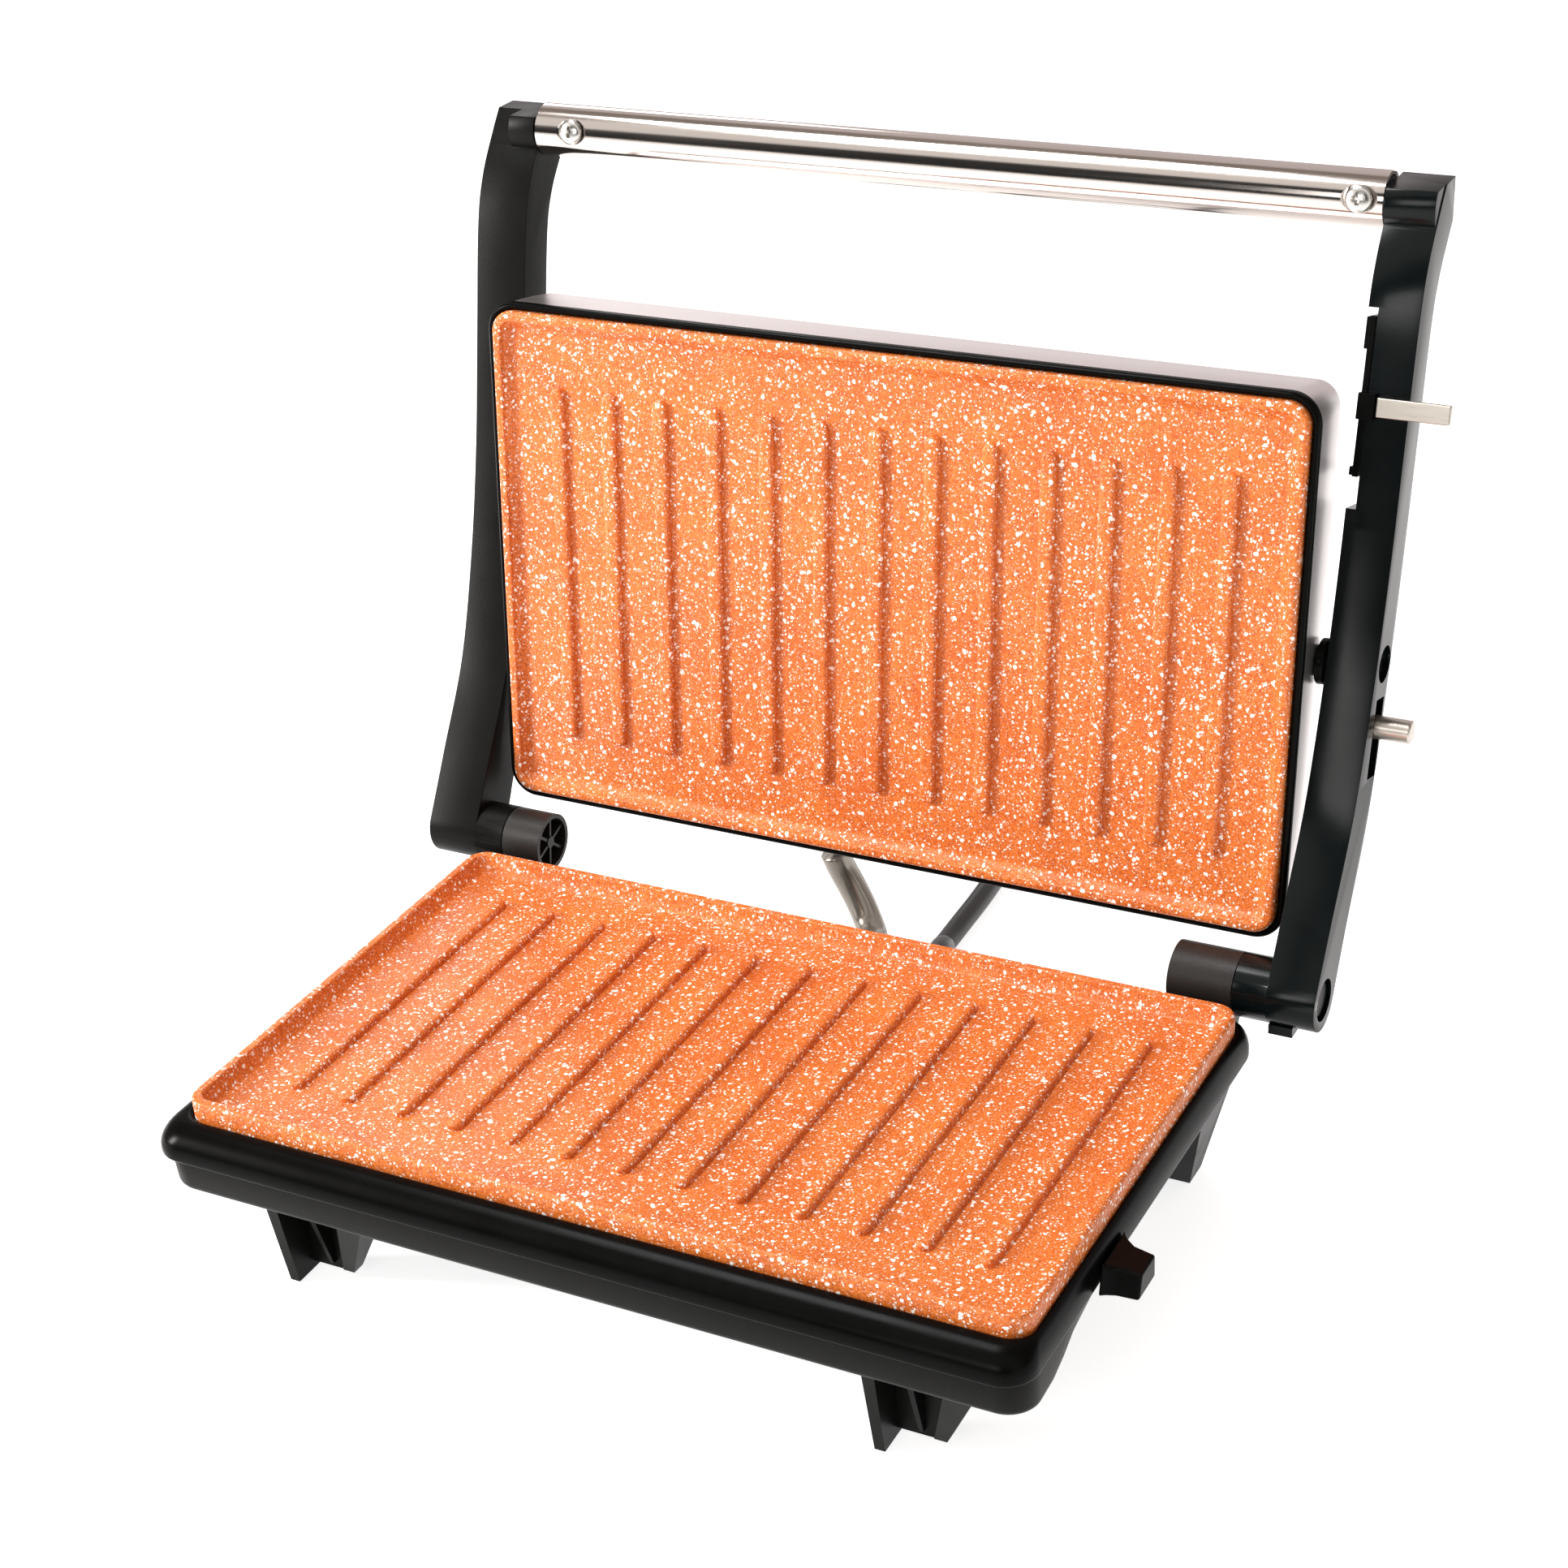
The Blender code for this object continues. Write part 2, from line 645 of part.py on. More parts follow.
def lid_arm(name, side, finish):
    outer = side * ARM_OUTER[side]
    low, high = sorted((side * ARM_INNER, outer))
    arm = slab(name, arm_outline(), low, high, finish)
    socket_end = SOCKET_END[side] - GAP
    join(arm, rod("socket", (side * ARM_INNER, *HANDLE), (side * socket_end, *HANDLE), SOCKET_RADIUS, finish, 32))
    cut(
        arm,
        box("above", (low - 1, 120, ARM_TOP_Z), (high + 1, 200, 280), finish),
        box("behind", (low - 1, ARM_REAR_Y, 210), (high + 1, 200, 270), finish),
    )
    bevel_now(arm, 1.4)
    hub_start = (side * (KNUCKLE_END + GAP), *HINGE)
    join(arm, rod("hub", hub_start, (side * (ARM_INNER + 2), *HINGE), HUB_RADIUS, finish, 40))
    dimple = (ARM_DIMPLE_Y, PIVOT[1])
    cut(
        arm,
        rod("dimple", (outer - side * 1.6, *dimple), (outer + side, *dimple), 4.8, finish),
        rod("pivot_hole", (side * (ARM_INNER - 1), *PIVOT), (side * PIVOT_PIN_END, *PIVOT), 2.5, finish, 16),
        rod("hinge_recess", (outer - side * 3, *HINGE), (outer + side, *HINGE), 5.7, finish),
        rod("hinge_hole", (side * (KNUCKLE_END - 1), *HINGE), (outer, *HINGE), 3.0, finish, 16),
    )
    return arm


def cut_latch_way(arm, finish):
    """The slot for the latch pin and the channel for its strip."""
    pin_room = 3.0 + GAP
    slot = arm_block("slot", *LATCH_SLOT, -pin_room, pin_room, 128.6, 136, finish)
    channel = arm_block("channel", *CHANNEL_ENDS, -8.0, 9.0, 117, 121.8, finish)
    return cut(arm, slot, channel)


def handle_axis(side, distance):
    return (side * distance, *HANDLE)


def handle(steel, plastic, screw_steel):
    """The steel tube, the two moulded pegs that it slides on and their screws from the front."""
    pieces = []
    end = ARM_INNER - GAP
    tube = rod("handle_tube", handle_axis(-1, end), handle_axis(1, end), HANDLE_RADIUS, steel, 32)
    cut(tube, rod("bore", handle_axis(-1, end + 1), handle_axis(1, end + 1), HANDLE_RADIUS - 1.0, steel, 32))
    forward = Vector((0, ARM_FORWARD.x, ARM_FORWARD.y))
    for side, word, screw_x in ((-1, "left", 107.4), (1, "right", 113.0)):
        spot = Vector(handle_axis(side, screw_x))
        cut(tube, rod("hole", spot + forward * 4, spot + forward * 9, 1.9, steel, 12))
        peg = rod(f"handle_peg_{word}", handle_axis(side, 98.0), handle_axis(side, end), 5.7, plastic, 20)
        cut(peg, rod("hole", spot + forward * 7, spot - forward * 4, 1.7, plastic, 12))
        head = spot + forward * (HANDLE_RADIUS + 1.5)
        screw = phillips_screw(f"handle_screw_{word}", head, -forward, 3.3, 1.3, 1.4, 10.0, screw_steel)
        pieces += [peg, screw]
    return [tube, *pieces]


def hinge_pin(name, side, inner, finish):
    """A pin with a black head, from the recess in the arm through its hub into the base's knuckle."""
    outer = ARM_OUTER[side] - 0.6
    profile = ((0.0, 4.6), (1.6, 5.2), (2.2, 5.2), (2.2, 2.6), (outer - inner, 2.6))
    return lathe(name, profile, (side * outer, *HINGE), (-side, 0, 0), finish, 20)


def pivot_pin(name, side, finish):
    """A steel pin pressed into the arm from inside, which the cover's knob turns on."""
    start = PIVOT_PIN_END - GAP
    profile = ((0.0, 2.2), (start - 115.6, 2.2), (start - 115.2, 1.8))
    return lathe(name, profile, (side * start, *PIVOT), (-side, 0, 0), finish, 16)


def latch(plastic, steel):
    """The sliding latch: a strip in the right arm with a flat tab above and a round pin below."""
    front = TAB_FORWARD - 0.9
    strip = arm_block("latch_strip", *STRIP_ENDS, -3.6, front, 119.9, 121.4, plastic)
    top = STRIP_ENDS[1]
    for low, high in ((top - 8.0, top - 0.3), (STRIP_ENDS[0] + 0.3, STRIP_ENDS[0] + 2.4)):
        join(strip, arm_block("tooth", low, high, -3.0, front - 0.3, 119.0, 120.4, plastic))
    low, high = TAB_ENDS
    ends = (low - 0.8, high + 0.8)
    join(
        strip,
        arm_block("neck", *ends, front - 1.0, TAB_FORWARD + 1.9, 119.9, 121.4, plastic),
        arm_block("holder", *ends, TAB_FORWARD - 0.2, TAB_FORWARD + 1.9, 120.6, 124.2, plastic),
    )
    tab = arm_block("latch_tab", low, high, TAB_FORWARD, TAB_FORWARD + 1.5, 124.2 + GAP, 143.0, steel)
    middle = along_arm(0)
    pin = rod("latch_pin", (129.0, *middle), (141.4, *middle), 3.0, steel)
    return [strip, bevel(tab, 0.4), bevel(pin, 0.4)]


# Cover and upper plate, drawn as they lie with the lid shut, from the pivot's axis -----------------


def cover_skin(shrink, bottom):
    """Loops from the cover's lower edge, round its top edge, to the middle of its top."""
    section = (
        (1.7, bottom), (1.2, -2.0), (0.5, 4.0), (-0.1, 5.2), (-1.2, 6.0), (-3.0, 6.4), (-14.0, 7.3),
        (-30.0, 8.4), (-50.0, 9.0),
    )
    lowest, *rest = section
    loops = [plate_loop(lowest[0] - shrink, bottom, steps=5)]
    return loops + [plate_loop(grow - shrink, z - shrink, steps=5) for grow, z in rest]


def upper_cover(finish, gland):
    """The domed steel shell, with holes for the two lamps and for the lead."""
    bottom = -PIVOT_ABOVE_RIM + 5.1
    shell = loft("upper_cover", cover_skin(0.8, bottom)[::-1] + cover_skin(0.0, bottom), finish)
    for side in (-1, 1):
        cut(shell, rod("pivot_hole", (side * 110, 0, 0), (side * 120, 0, 0), 4.3, finish))
    for x in (-9.0, 9.0):
        cut(shell, rod("lamp_hole", (x, LAMP_Y, -4), (x, LAMP_Y, 12), 3.2, finish))
    x, y, z = gland
    return cut(shell, rod("lead_hole", (x, y - 8, z), (x, y + 8, z), 4.4, finish))


def upper_frame(finish):
    """The black frame between the steel cover and the upper plate."""
    rim = -PIVOT_ABOVE_RIM
    section = [
        plate_loop(0.4, rim + 2.0),
        plate_loop(1.1, rim + 1.5),
        plate_loop(1.8, rim + 1.9),
        plate_loop(2.0, rim + 2.6),
        plate_loop(2.0, rim + 4.4),
        plate_loop(1.6, rim + 4.8),
        plate_loop(0.5, rim + 4.8),
        plate_loop(0.5, rim + 8.1),
        plate_loop(-8.0, rim + 8.1),
        plate_loop(-8.0, rim + UPPER_PLATE_DEEP + GAP),
        plate_loop(-2.4, rim + UPPER_PLATE_DEEP + GAP),
        plate_loop(-2.4, rim + 4.2),
        plate_loop(0.4, rim + 3.9),
    ]
    return loft("upper_frame", section, finish, ring=True)


def upper_housing(finishes):
    """Everything that tilts on the arms, drawn shut and about the pivot's axis."""
    rim = -PIVOT_ABOVE_RIM
    plate_back = rim + UPPER_PLATE_DEEP
    gland_at = (LINK_ROUTE[-1][0], PLATE_DEPTH / 2 + 1.3, -3.4)
    pieces = [
        cooking_plate(
            "upper_plate", 0.0, rim, UPPER_PLATE_DEEP, 3.5, 2.8, 0.6, finishes["copper"], upwards=False
        ),
        upper_frame(finishes["gloss"]),
        upper_cover(finishes["cover"], gland_at),
        heating_element("upper_heating_element", 0.0, plate_back + 3.2 + GAP, finishes["steel"]),
        box("upper_reflector", (-100, -56, -4.6), (100, 56, -3.8), finishes["sheet"]),
    ]
    fuse_z = plate_back + 2.8
    pieces.append(rod("upper_thermal_fuse", (-40, 0, fuse_z), (-26, 0, fuse_z), 2.4, finishes["steel"], 12))
    for x, name, finish in ((-9.0, "power_lamp", "red"), (9.0, "ready_lamp", "green")):
        profile = ((0.0, 4.2), (1.2, 4.2), (1.2, 2.9), (5.6, 2.9), (6.3, 2.1))
        pieces.append(lathe(name, profile, (x, LAMP_Y, -1.4), (0, 0, 1), finishes[finish], 16))
    x, y, z = gland_at
    profile = ((0.0, 4.1), (6.6, 4.1), (6.6, 5.2), (9.6, 4.9))
    pieces.append(lathe("cover_gland", profile, (x, y - 6.2, z), (0, 1, 0), finishes["rubber"], 16))
    for side, word in ((-1, "left"), (1, "right")):
        profile = ((0.0, 4.0), (3.4, 4.0), (3.4, 5.9), (5.6, 5.9))
        start = (side * 113.3, 0, 0)
        knob = lathe(f"pivot_knob_{word}", profile, start, (side, 0, 0), finishes["gloss"], 24)
        hole = rod("hole", (side * 114.9, 0, 0), (side * 120, 0, 0), 2.5, finishes["gloss"], 16)
        pieces.append(cut(knob, hole))
    return pieces


# Cord, coil and plug ------------------------------------------------------------------------------


def mains_lead(rubber, brass):
    wire("mains_cord", smooth_line(CORD_ROUTE, 2), CORD_RADIUS, rubber)
    x, y = COIL_MIDDLE
    corner = COIL_HALF / math.cos(math.pi / 8)
    section = []
    for k in range(8):
        turn = math.radians(22.5 + 45 * k)
        section.append((COIL_RADIUS + corner * math.cos(turn), corner * math.sin(turn)))
    bm = bmesh.new()
    rings = 32
    rows = []
    for k in range(rings):
        turn = 2 * math.pi * k / rings
        rows.append(
            [
                bm.verts.new((x + r * math.cos(turn), y + r * math.sin(turn), COIL_HALF + 0.1 + h))
                for r, h in section
            ]
        )
    for k, row in enumerate(rows):
        following = rows[(k + 1) % rings]
        for i in range(len(row)):
            j = (i + 1) % len(row)
            bm.faces.new((row[i], row[j], following[j], following[i]))
    piece("cord_coil", bm, rubber)
    wire("cord_tail", smooth_line(TAIL_ROUTE, 2), CORD_RADIUS, rubber)
    plug(rubber, brass)


def plug(rubber, brass):
    """A moulded two-pin plug with a flat face, pointing to -X."""
    profile = ((0.0, 4.0), (9.0, 5.2), (12.0, 8.0), (18.0, 13.0), (24.0, 14.4), (38.0, 14.4))
    body = lathe("plug_body", profile, PLUG, (-1, 0, 0), rubber, 20)
    x, y, z = PLUG
    for side, word in ((-1, "near"), (1, "far")):
        spot = (x - 38.0 - GAP, y + side * 9.5, z)
        profile = ((0.0, 2.4), (17.6, 2.4), (19.0, 1.2))
        lathe(f"plug_pin_{word}", profile, spot, (-1, 0, 0), brass, 12)
    return body


def cord_tie(finish):
    """The wire tie round the coil's bundle."""
    x, y = COIL_MIDDLE
    reach = COIL_HALF + 1.6
    middle = (x - COIL_RADIUS, y, COIL_HALF + 0.1)
    tie = box("cord_tie", (-reach, -2.5, -COIL_HALF - 0.1), (reach, 2.5, reach), finish)
    hollow = COIL_HALF + GAP
    cut(tie, box("hollow", (-hollow, -4, -COIL_HALF - 2), (hollow, 4, hollow), finish))
    tie.data.transform(Matrix.Translation(Vector(middle) * MM))
    return tie


# Assembly -----------------------------------------------------------------------------------------


def finishes():
    return {
        "copper": material("copper_coating", (0.80, 0.30, 0.11), 0.45),
        "gloss": material("gloss_black_plastic", (0.012, 0.013, 0.013), 0.16),
        "satin": material("satin_black_plastic", (0.030, 0.030, 0.029), 0.42),
        "cover": material("polished_steel", (0.86, 0.83, 0.82), 0.16, 1.0),
        "steel": material("stainless_steel", (0.62, 0.60, 0.57), 0.24, 1.0),
        "sheet": material("aluminised_sheet", (0.70, 0.70, 0.70), 0.35, 1.0),
        "rubber": material("black_rubber", (0.015, 0.015, 0.016), 0.48),
        "ceramic": material("white_ceramic", (0.82, 0.80, 0.75), 0.55),
        "brown": material("terminal_brown", (0.22, 0.12, 0.07), 0.5),
        "sleeve": material("grey_metal_sleeve", (0.45, 0.43, 0.40), 0.28, 0.8),
        "red": material("red_lens", (0.70, 0.03, 0.02), 0.12),
        "green": material("green_lens", (0.05, 0.55, 0.10), 0.12),
        "nickel": material("nickel_pin", (0.75, 0.72, 0.66), 0.25, 1.0),
    }


def build():
    clear_scene()
    look = finishes()
    root = joint_empty("press", 0.0, 0.0)

    cooking_plate(
        "lower_plate", LOWER_PLATE_Y, RIM_Z, LOWER_PLATE_DEEP, 6.4, 4.8, 0.0, look["copper"], upwards=True
    )
    base_frame(look["gloss"])
    base_tray(look["satin"])
    lid_catch(look["gloss"])
    for side, word, inner_end in ((-1, "left", 98.0), (1, "right", 92.6)):
        hinge_knuckle(f"hinge_knuckle_{word}", side, inner_end, look["satin"])
    base_inside(look["steel"], look["sheet"], look["ceramic"], look["brown"])
    base_leads(look["rubber"])
    base_screws(look["steel"])
    wire("link_lead", smooth_line(LINK_ROUTE, 2), LINK_RADIUS, look["sleeve"])
    mains_lead(look["rubber"], look["nickel"])
    cord_tie(look["satin"])
    fixed = [one for one in bpy.data.objects if one.type != "EMPTY"]
    ride(fixed, root)

    lid = joint_empty("lid_axis", *HINGE, parent=root)
    left = lid_arm("left_arm", -1, look["satin"])
    right = cut_latch_way(lid_arm("right_arm", 1, look["gloss"]), look["gloss"])
    moving = [left, right, *handle(look["steel"], look["satin"], look["steel"])]
    for side, word, inner_end in ((-1, "left", 98.0), (1, "right", 92.6)):
        moving.append(hinge_pin(f"hinge_pin_{word}", side, inner_end + 10, look["gloss"]))
        moving.append(pivot_pin(f"pivot_pin_{word}", side, look["steel"]))
    ride(moving, lid)

    slide = joint_empty("latch_slide", *along_arm(0), parent=lid)
    ride(latch(look["gloss"], look["steel"]), slide)

    tilt = joint_empty("cover_tilt", *PIVOT, parent=lid)
    housing = upper_housing(look)
    for one in housing:
        one.parent = tilt
    tilt.rotation_euler.x = math.radians(-90 - LID_LEAN)

    centre_on_origin(root)


def centre_on_origin(root):
    """Moves the press so that the middle of its box, without the lead, is over the origin."""
    bpy.context.view_layer.update()
    on_lead = {"mains_cord", "cord_coil", "cord_tail", "cord_tie", "plug_body", "plug_pin_near", "plug_pin_far"}
    corners = [
        one.matrix_world @ Vector(corner)
        for one in bpy.data.objects
        if one.type != "EMPTY" and one.name not in on_lead
        for corner in one.bound_box
    ]
    for axis in (0, 1):
        values = [corner[axis] for corner in corners]
        root.location[axis] = -(min(values) + max(values)) / 2


build()
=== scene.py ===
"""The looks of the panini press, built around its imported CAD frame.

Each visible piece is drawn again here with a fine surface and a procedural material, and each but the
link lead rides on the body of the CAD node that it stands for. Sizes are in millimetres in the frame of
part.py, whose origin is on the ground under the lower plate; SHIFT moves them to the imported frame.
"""

import json
import math

import bmesh
import bpy
from mathutils import Matrix, Vector

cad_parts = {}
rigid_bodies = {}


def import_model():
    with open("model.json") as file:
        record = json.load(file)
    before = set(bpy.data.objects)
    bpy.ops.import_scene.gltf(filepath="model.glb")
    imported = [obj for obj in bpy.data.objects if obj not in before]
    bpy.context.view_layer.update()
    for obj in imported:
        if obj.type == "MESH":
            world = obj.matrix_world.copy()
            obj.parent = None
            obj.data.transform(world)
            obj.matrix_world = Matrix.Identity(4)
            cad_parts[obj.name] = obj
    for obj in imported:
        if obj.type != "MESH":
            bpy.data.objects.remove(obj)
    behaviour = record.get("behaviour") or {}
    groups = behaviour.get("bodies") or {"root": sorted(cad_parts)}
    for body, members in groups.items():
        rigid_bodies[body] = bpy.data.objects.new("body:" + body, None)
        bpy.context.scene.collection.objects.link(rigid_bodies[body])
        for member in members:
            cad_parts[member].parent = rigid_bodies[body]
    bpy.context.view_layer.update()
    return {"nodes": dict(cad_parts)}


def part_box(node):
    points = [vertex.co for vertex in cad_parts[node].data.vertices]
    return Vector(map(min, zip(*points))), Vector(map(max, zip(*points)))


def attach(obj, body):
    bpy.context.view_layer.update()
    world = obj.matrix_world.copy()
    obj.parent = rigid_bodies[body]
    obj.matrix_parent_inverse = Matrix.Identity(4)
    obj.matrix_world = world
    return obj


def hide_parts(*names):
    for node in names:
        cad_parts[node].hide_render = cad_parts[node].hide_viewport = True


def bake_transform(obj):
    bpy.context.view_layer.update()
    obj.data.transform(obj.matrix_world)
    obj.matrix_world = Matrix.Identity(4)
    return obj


MM = 0.001

PLATE_WIDTH, PLATE_DEPTH, PLATE_CORNER = 230.0, 139.0, 6.0
GAP = 0.3
RIM_Z, LOWER_PLATE_Y, LOWER_PLATE_DEEP, UPPER_PLATE_DEEP = 53.0, -1.0, 8.0, 6.0
RIB_PITCH, RIB_COUNT, RIB_WIDTH, RIB_LENGTH = 16.0, 13, 4.4, 101.0
FRAME_TOP_Z, PARTING_Z, TRAY_BOTTOM_Z, TRAY_TUCK = 47.8, 39.0, 29.0, 7.0
LEFT_LEDGE, RIGHT_LEDGE, FRONT_LEDGE, REAR_LEDGE = 6.4, 2.6, 8.0, 4.4
HINGE, HUB_RADIUS, LID_LEAN = (82.0, 51.0), 8.5, 6.5
PIVOT, PIVOT_ABOVE_RIM = (117.0, 128.2), 18.7
KNUCKLE_END, ARM_INNER, ARM_OUTER, ARM_HALF = 110.0, 119.2, {-1: 134.8, 1: 132.2}, 5.8
ARM_TOP_Z, ARM_REAR_Y, ARM_DIMPLE_Y, PIVOT_PIN_END = 240.4, 158.6, 120.4, 129.8
SOCKET_RADIUS, SOCKET_END = 7.4, {-1: 127.5, 1: 132.2}
HANDLE, HANDLE_RADIUS = (150.5, 235.8), 7.0
CORD_RADIUS, LINK_RADIUS = 3.3, 4.1
LATCH_PIN = (116.5, 112.5)
ARM_DIRECTION = Vector((0.247, 0.969)).normalized()
ARM_FORWARD = Vector((-ARM_DIRECTION.y, ARM_DIRECTION.x))
FORWARD = Vector((0, ARM_FORWARD.x, ARM_FORWARD.y))
LATCH_SLOT, CHANNEL_ENDS, STRIP_ENDS = (-13.3, 7.4), (54.6, 103.3), (62.5, 101.3)
TAB_ENDS, TAB_FORWARD = (77.6, 82.4), 7.8
LAMP_Y = -54.0
REAR_WALL_Y = LOWER_PLATE_Y + PLATE_DEPTH / 2
LEAD_WALL_Y = REAR_WALL_Y - 4.0
TRAY_FLOOR = 2.2
# Side, word, and the distance from the middle of each knuckle's inner end and of each handle screw.
KNUCKLES = ((-1, "left", 98.0), (1, "right", 92.6))
HANDLE_SCREWS = ((-1, "left", 107.4), (1, "right", 113.0))

ARM_LINE = (
    (82.0, 51.0, HUB_RADIUS),
    (92.1, 68.1, 7.7),
    (106.8, 92.1, 7.2),
    (117.7, 121.9, 6.3),
    (126.1, 151.6, ARM_HALF),
    (133.1, 181.4, ARM_HALF),
    (139.7, 209.8, ARM_HALF),
    (144.5, 221.6, 6.0),
    (151.5, 231.0, 6.2),
    (158.0, 238.4, 6.4),
    (164.0, 245.0, 6.4),
)

# The mains cord from the strain relief to the coil, and from the coil to the plug.
CORD_ROUTE = (
    (18.2, 89.4, 33.5),
    (18.1, 92.4, 33.3),
    (17.0, 98.0, 31.9),
    (15.2, 103.0, 29.2),
    (12.4, 108.0, 25.3),
    (8.6, 114.0, 20.2),
    (5.0, 120.4, 15.1),
    (2.0, 126.4, 10.6),
    (-0.6, 132.4, 6.9),
    (-2.6, 139.0, 4.5),
    (-3.6, 147.0, 3.4),
    (-4.0, 158.0, 3.4),
    (-4.4, 170.0, 3.4),
    (-5.2, 182.0, 3.4),
    (-6.4, 194.0, 3.4),
    (-7.8, 205.0, 3.4),
    (-8.8, 217.0, 3.4),
)
COIL_MIDDLE, COIL_RADIUS, COIL_HALF = (-45.0, 245.0), 36.0, 6.7
TAIL_ROUTE = (
    (-71.8, 284.3, 10.5),
    (-76.0, 284.3, 11.4),
    (-82.0, 284.3, 12.9),
    (-88.0, 284.3, 14.0),
    (-93.0, 284.3, 14.5),
    (-98.0, 284.3, 14.6),
)
PLUG = (-98.5, 284.3, 14.6)

LINK_ROUTE = (
    (-2.0, 80.6, 35.2),
    (-2.0, 83.6, 35.2),
    (-2.2, 89.4, 33.0),
    (-3.4, 96.0, 29.8),
    (-5.8, 101.6, 28.6),
    (-9.2, 105.6, 30.6),
    (-12.4, 107.6, 35.0),
    (-15.6, 108.2, 40.4),
    (-18.2, 107.8, 45.8),
    (-19.6, 107.0, 50.6),
)

# The camera's place, in metres from part.py's origin, and its right, up and back directions.
CAMERA_PLACE = (0.31569, -0.52587, 0.44925)
CAMERA_AXES = ((0.8880, 0.4559, -0.0592), (-0.1960, 0.4919, 0.8483), (0.4159, -0.7417, 0.5262))
CAMERA_LENS, CAMERA_SHIFT = 66.298, 0.13084


# Frame ------------------------------------------------------------------------

for old in list(bpy.data.objects):
    bpy.data.objects.remove(old)
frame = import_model()


tube_low, tube_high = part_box("handle_tube")
SHIFT = Vector(
    ((tube_low.x + tube_high.x) / 2, (tube_low.y + tube_high.y) / 2 - HANDLE[0] * MM, 0)
)
STANDING = Matrix.Translation(SHIFT) @ Matrix.Scale(MM, 4)
# Cover pieces are drawn as they lie with the lid shut, from the axis that the cover tilts about.
COVER = (
    Matrix.Translation(SHIFT + Vector((0, PIVOT[0], PIVOT[1])) * MM)
    @ Matrix.Rotation(math.radians(-90 - LID_LEAN), 4, "X")
    @ Matrix.Scale(MM, 4)
)


# Mesh helpers -----------------------------------------------------------------


def piece(name, bm, place):
    bmesh.ops.recalc_face_normals(bm, faces=bm.faces)
    bmesh.ops.transform(bm, matrix=place, verts=bm.verts)
    mesh = bpy.data.meshes.new(name)
    bm.to_mesh(mesh)
    bm.free()
    made = bpy.data.objects.new(name, mesh)
    bpy.context.scene.collection.objects.link(made)
    return made


def take_result(target):
    """Replaces an object's mesh with what its modifiers make of it."""
    graph = bpy.context.evaluated_depsgraph_get()
    mesh = bpy.data.meshes.new_from_object(target.evaluated_get(graph))
    target.modifiers.clear()
    target.data = mesh


def boolean(target, tool, operation):
    change = target.modifiers.new(operation, "BOOLEAN")
    change.object = tool
    change.operation = operation
    change.solver = "EXACT"
    take_result(target)
    bpy.data.objects.remove(tool)


def cut(target, *tools):
    for tool in tools:
        boolean(target, tool, "DIFFERENCE")
    return target


def join(target, *tools):
    for tool in tools:
        boolean(target, tool, "UNION")
    return target


def bevel(target, width, segments=3, angle=32.0):
    soften = target.modifiers.new("Bevel", "BEVEL")
    soften.width = width * MM
    soften.segments = segments
    soften.limit_method = "ANGLE"
    soften.angle_limit = math.radians(angle)
    soften.use_clamp_overlap = True
    soften.harden_normals = True
    soften.miter_outer = "MITER_ARC"
    return target


def loft(name, loops, place=STANDING, ring=False):
    """Skins loops of equal length. The first and last are capped, or with ring they meet."""
    bm = bmesh.new()
    rows = [[bm.verts.new(point) for point in loop] for loop in loops]
    pairs = list(zip(rows, rows[1:]))
    if ring:
        pairs.append((rows[-1], rows[0]))
    for low, high in pairs:
        for i in range(len(low)):
            j = (i + 1) % len(low)
            bm.faces.new((low[i], low[j], high[j], high[i]))
    if not ring:
        bm.faces.new(rows[0][::-1])
        bm.faces.new(rows[-1])
    return piece(name, bm, place)


def box(name, low, high, place=STANDING):
    (x0, y0, z0), (x1, y1, z1) = low, high
    return loft(name, [[(x0, y0, z), (x1, y0, z), (x1, y1, z), (x0, y1, z)] for z in (z0, z1)], place)


def slab(name, outline, x_low, x_high):
    """An outline of y, z points, extruded along X."""
    return loft(name, [[(x, y, z) for y, z in outline] for x in (x_low, x_high)])


def lathe(name, profile, start, direction, sides=64, place=STANDING):
    """Turns a profile of (distance along the axis, radius) about the axis."""
    turned = Vector(direction).normalized().to_track_quat("Z", "X").to_matrix()
    loops = []
    for along, radius in profile:
        loop = []
        for k in range(sides):
            turn = 2 * math.pi * k / sides
            spot = Vector((radius * math.cos(turn), radius * math.sin(turn), along))
            loop.append(Vector(start) + turned @ spot)
        loops.append(loop)
    return loft(name, loops, place)


def rod(name, start, end, radius, sides=64, place=STANDING):
    direction = Vector(end) - Vector(start)
    return lathe(name, ((0, radius), (direction.length, radius)), start, direction, sides, place)


def eased(t):
    """A share from 0 to 1 that starts and stops gently."""
    return t * t * (3 - 2 * t)


def smooth_line(points, steps):
    """A Catmull-Rom curve through points of any number of values, with steps points in each span."""
    ends = [[2 * a - b for a, b in zip(points[0], points[1])]]
    ends += [list(point) for point in points]
    ends += [[2 * a - b for a, b in zip(points[-1], points[-2])]]
    line = []
    for before, here, there, after in zip(ends, ends[1:], ends[2:], ends[3:]):
        for k in range(steps):
            t = k / steps
            line.append(
                [
                    0.5 * (2 * b + (c - a) * t + (2 * a - 5 * b + 4 * c - d) * t**2
                           + (3 * b - 3 * c + d - a) * t**3)
                    for a, b, c, d in zip(before, here, there, after)
                ]
            )
    return line + [list(points[-1])]


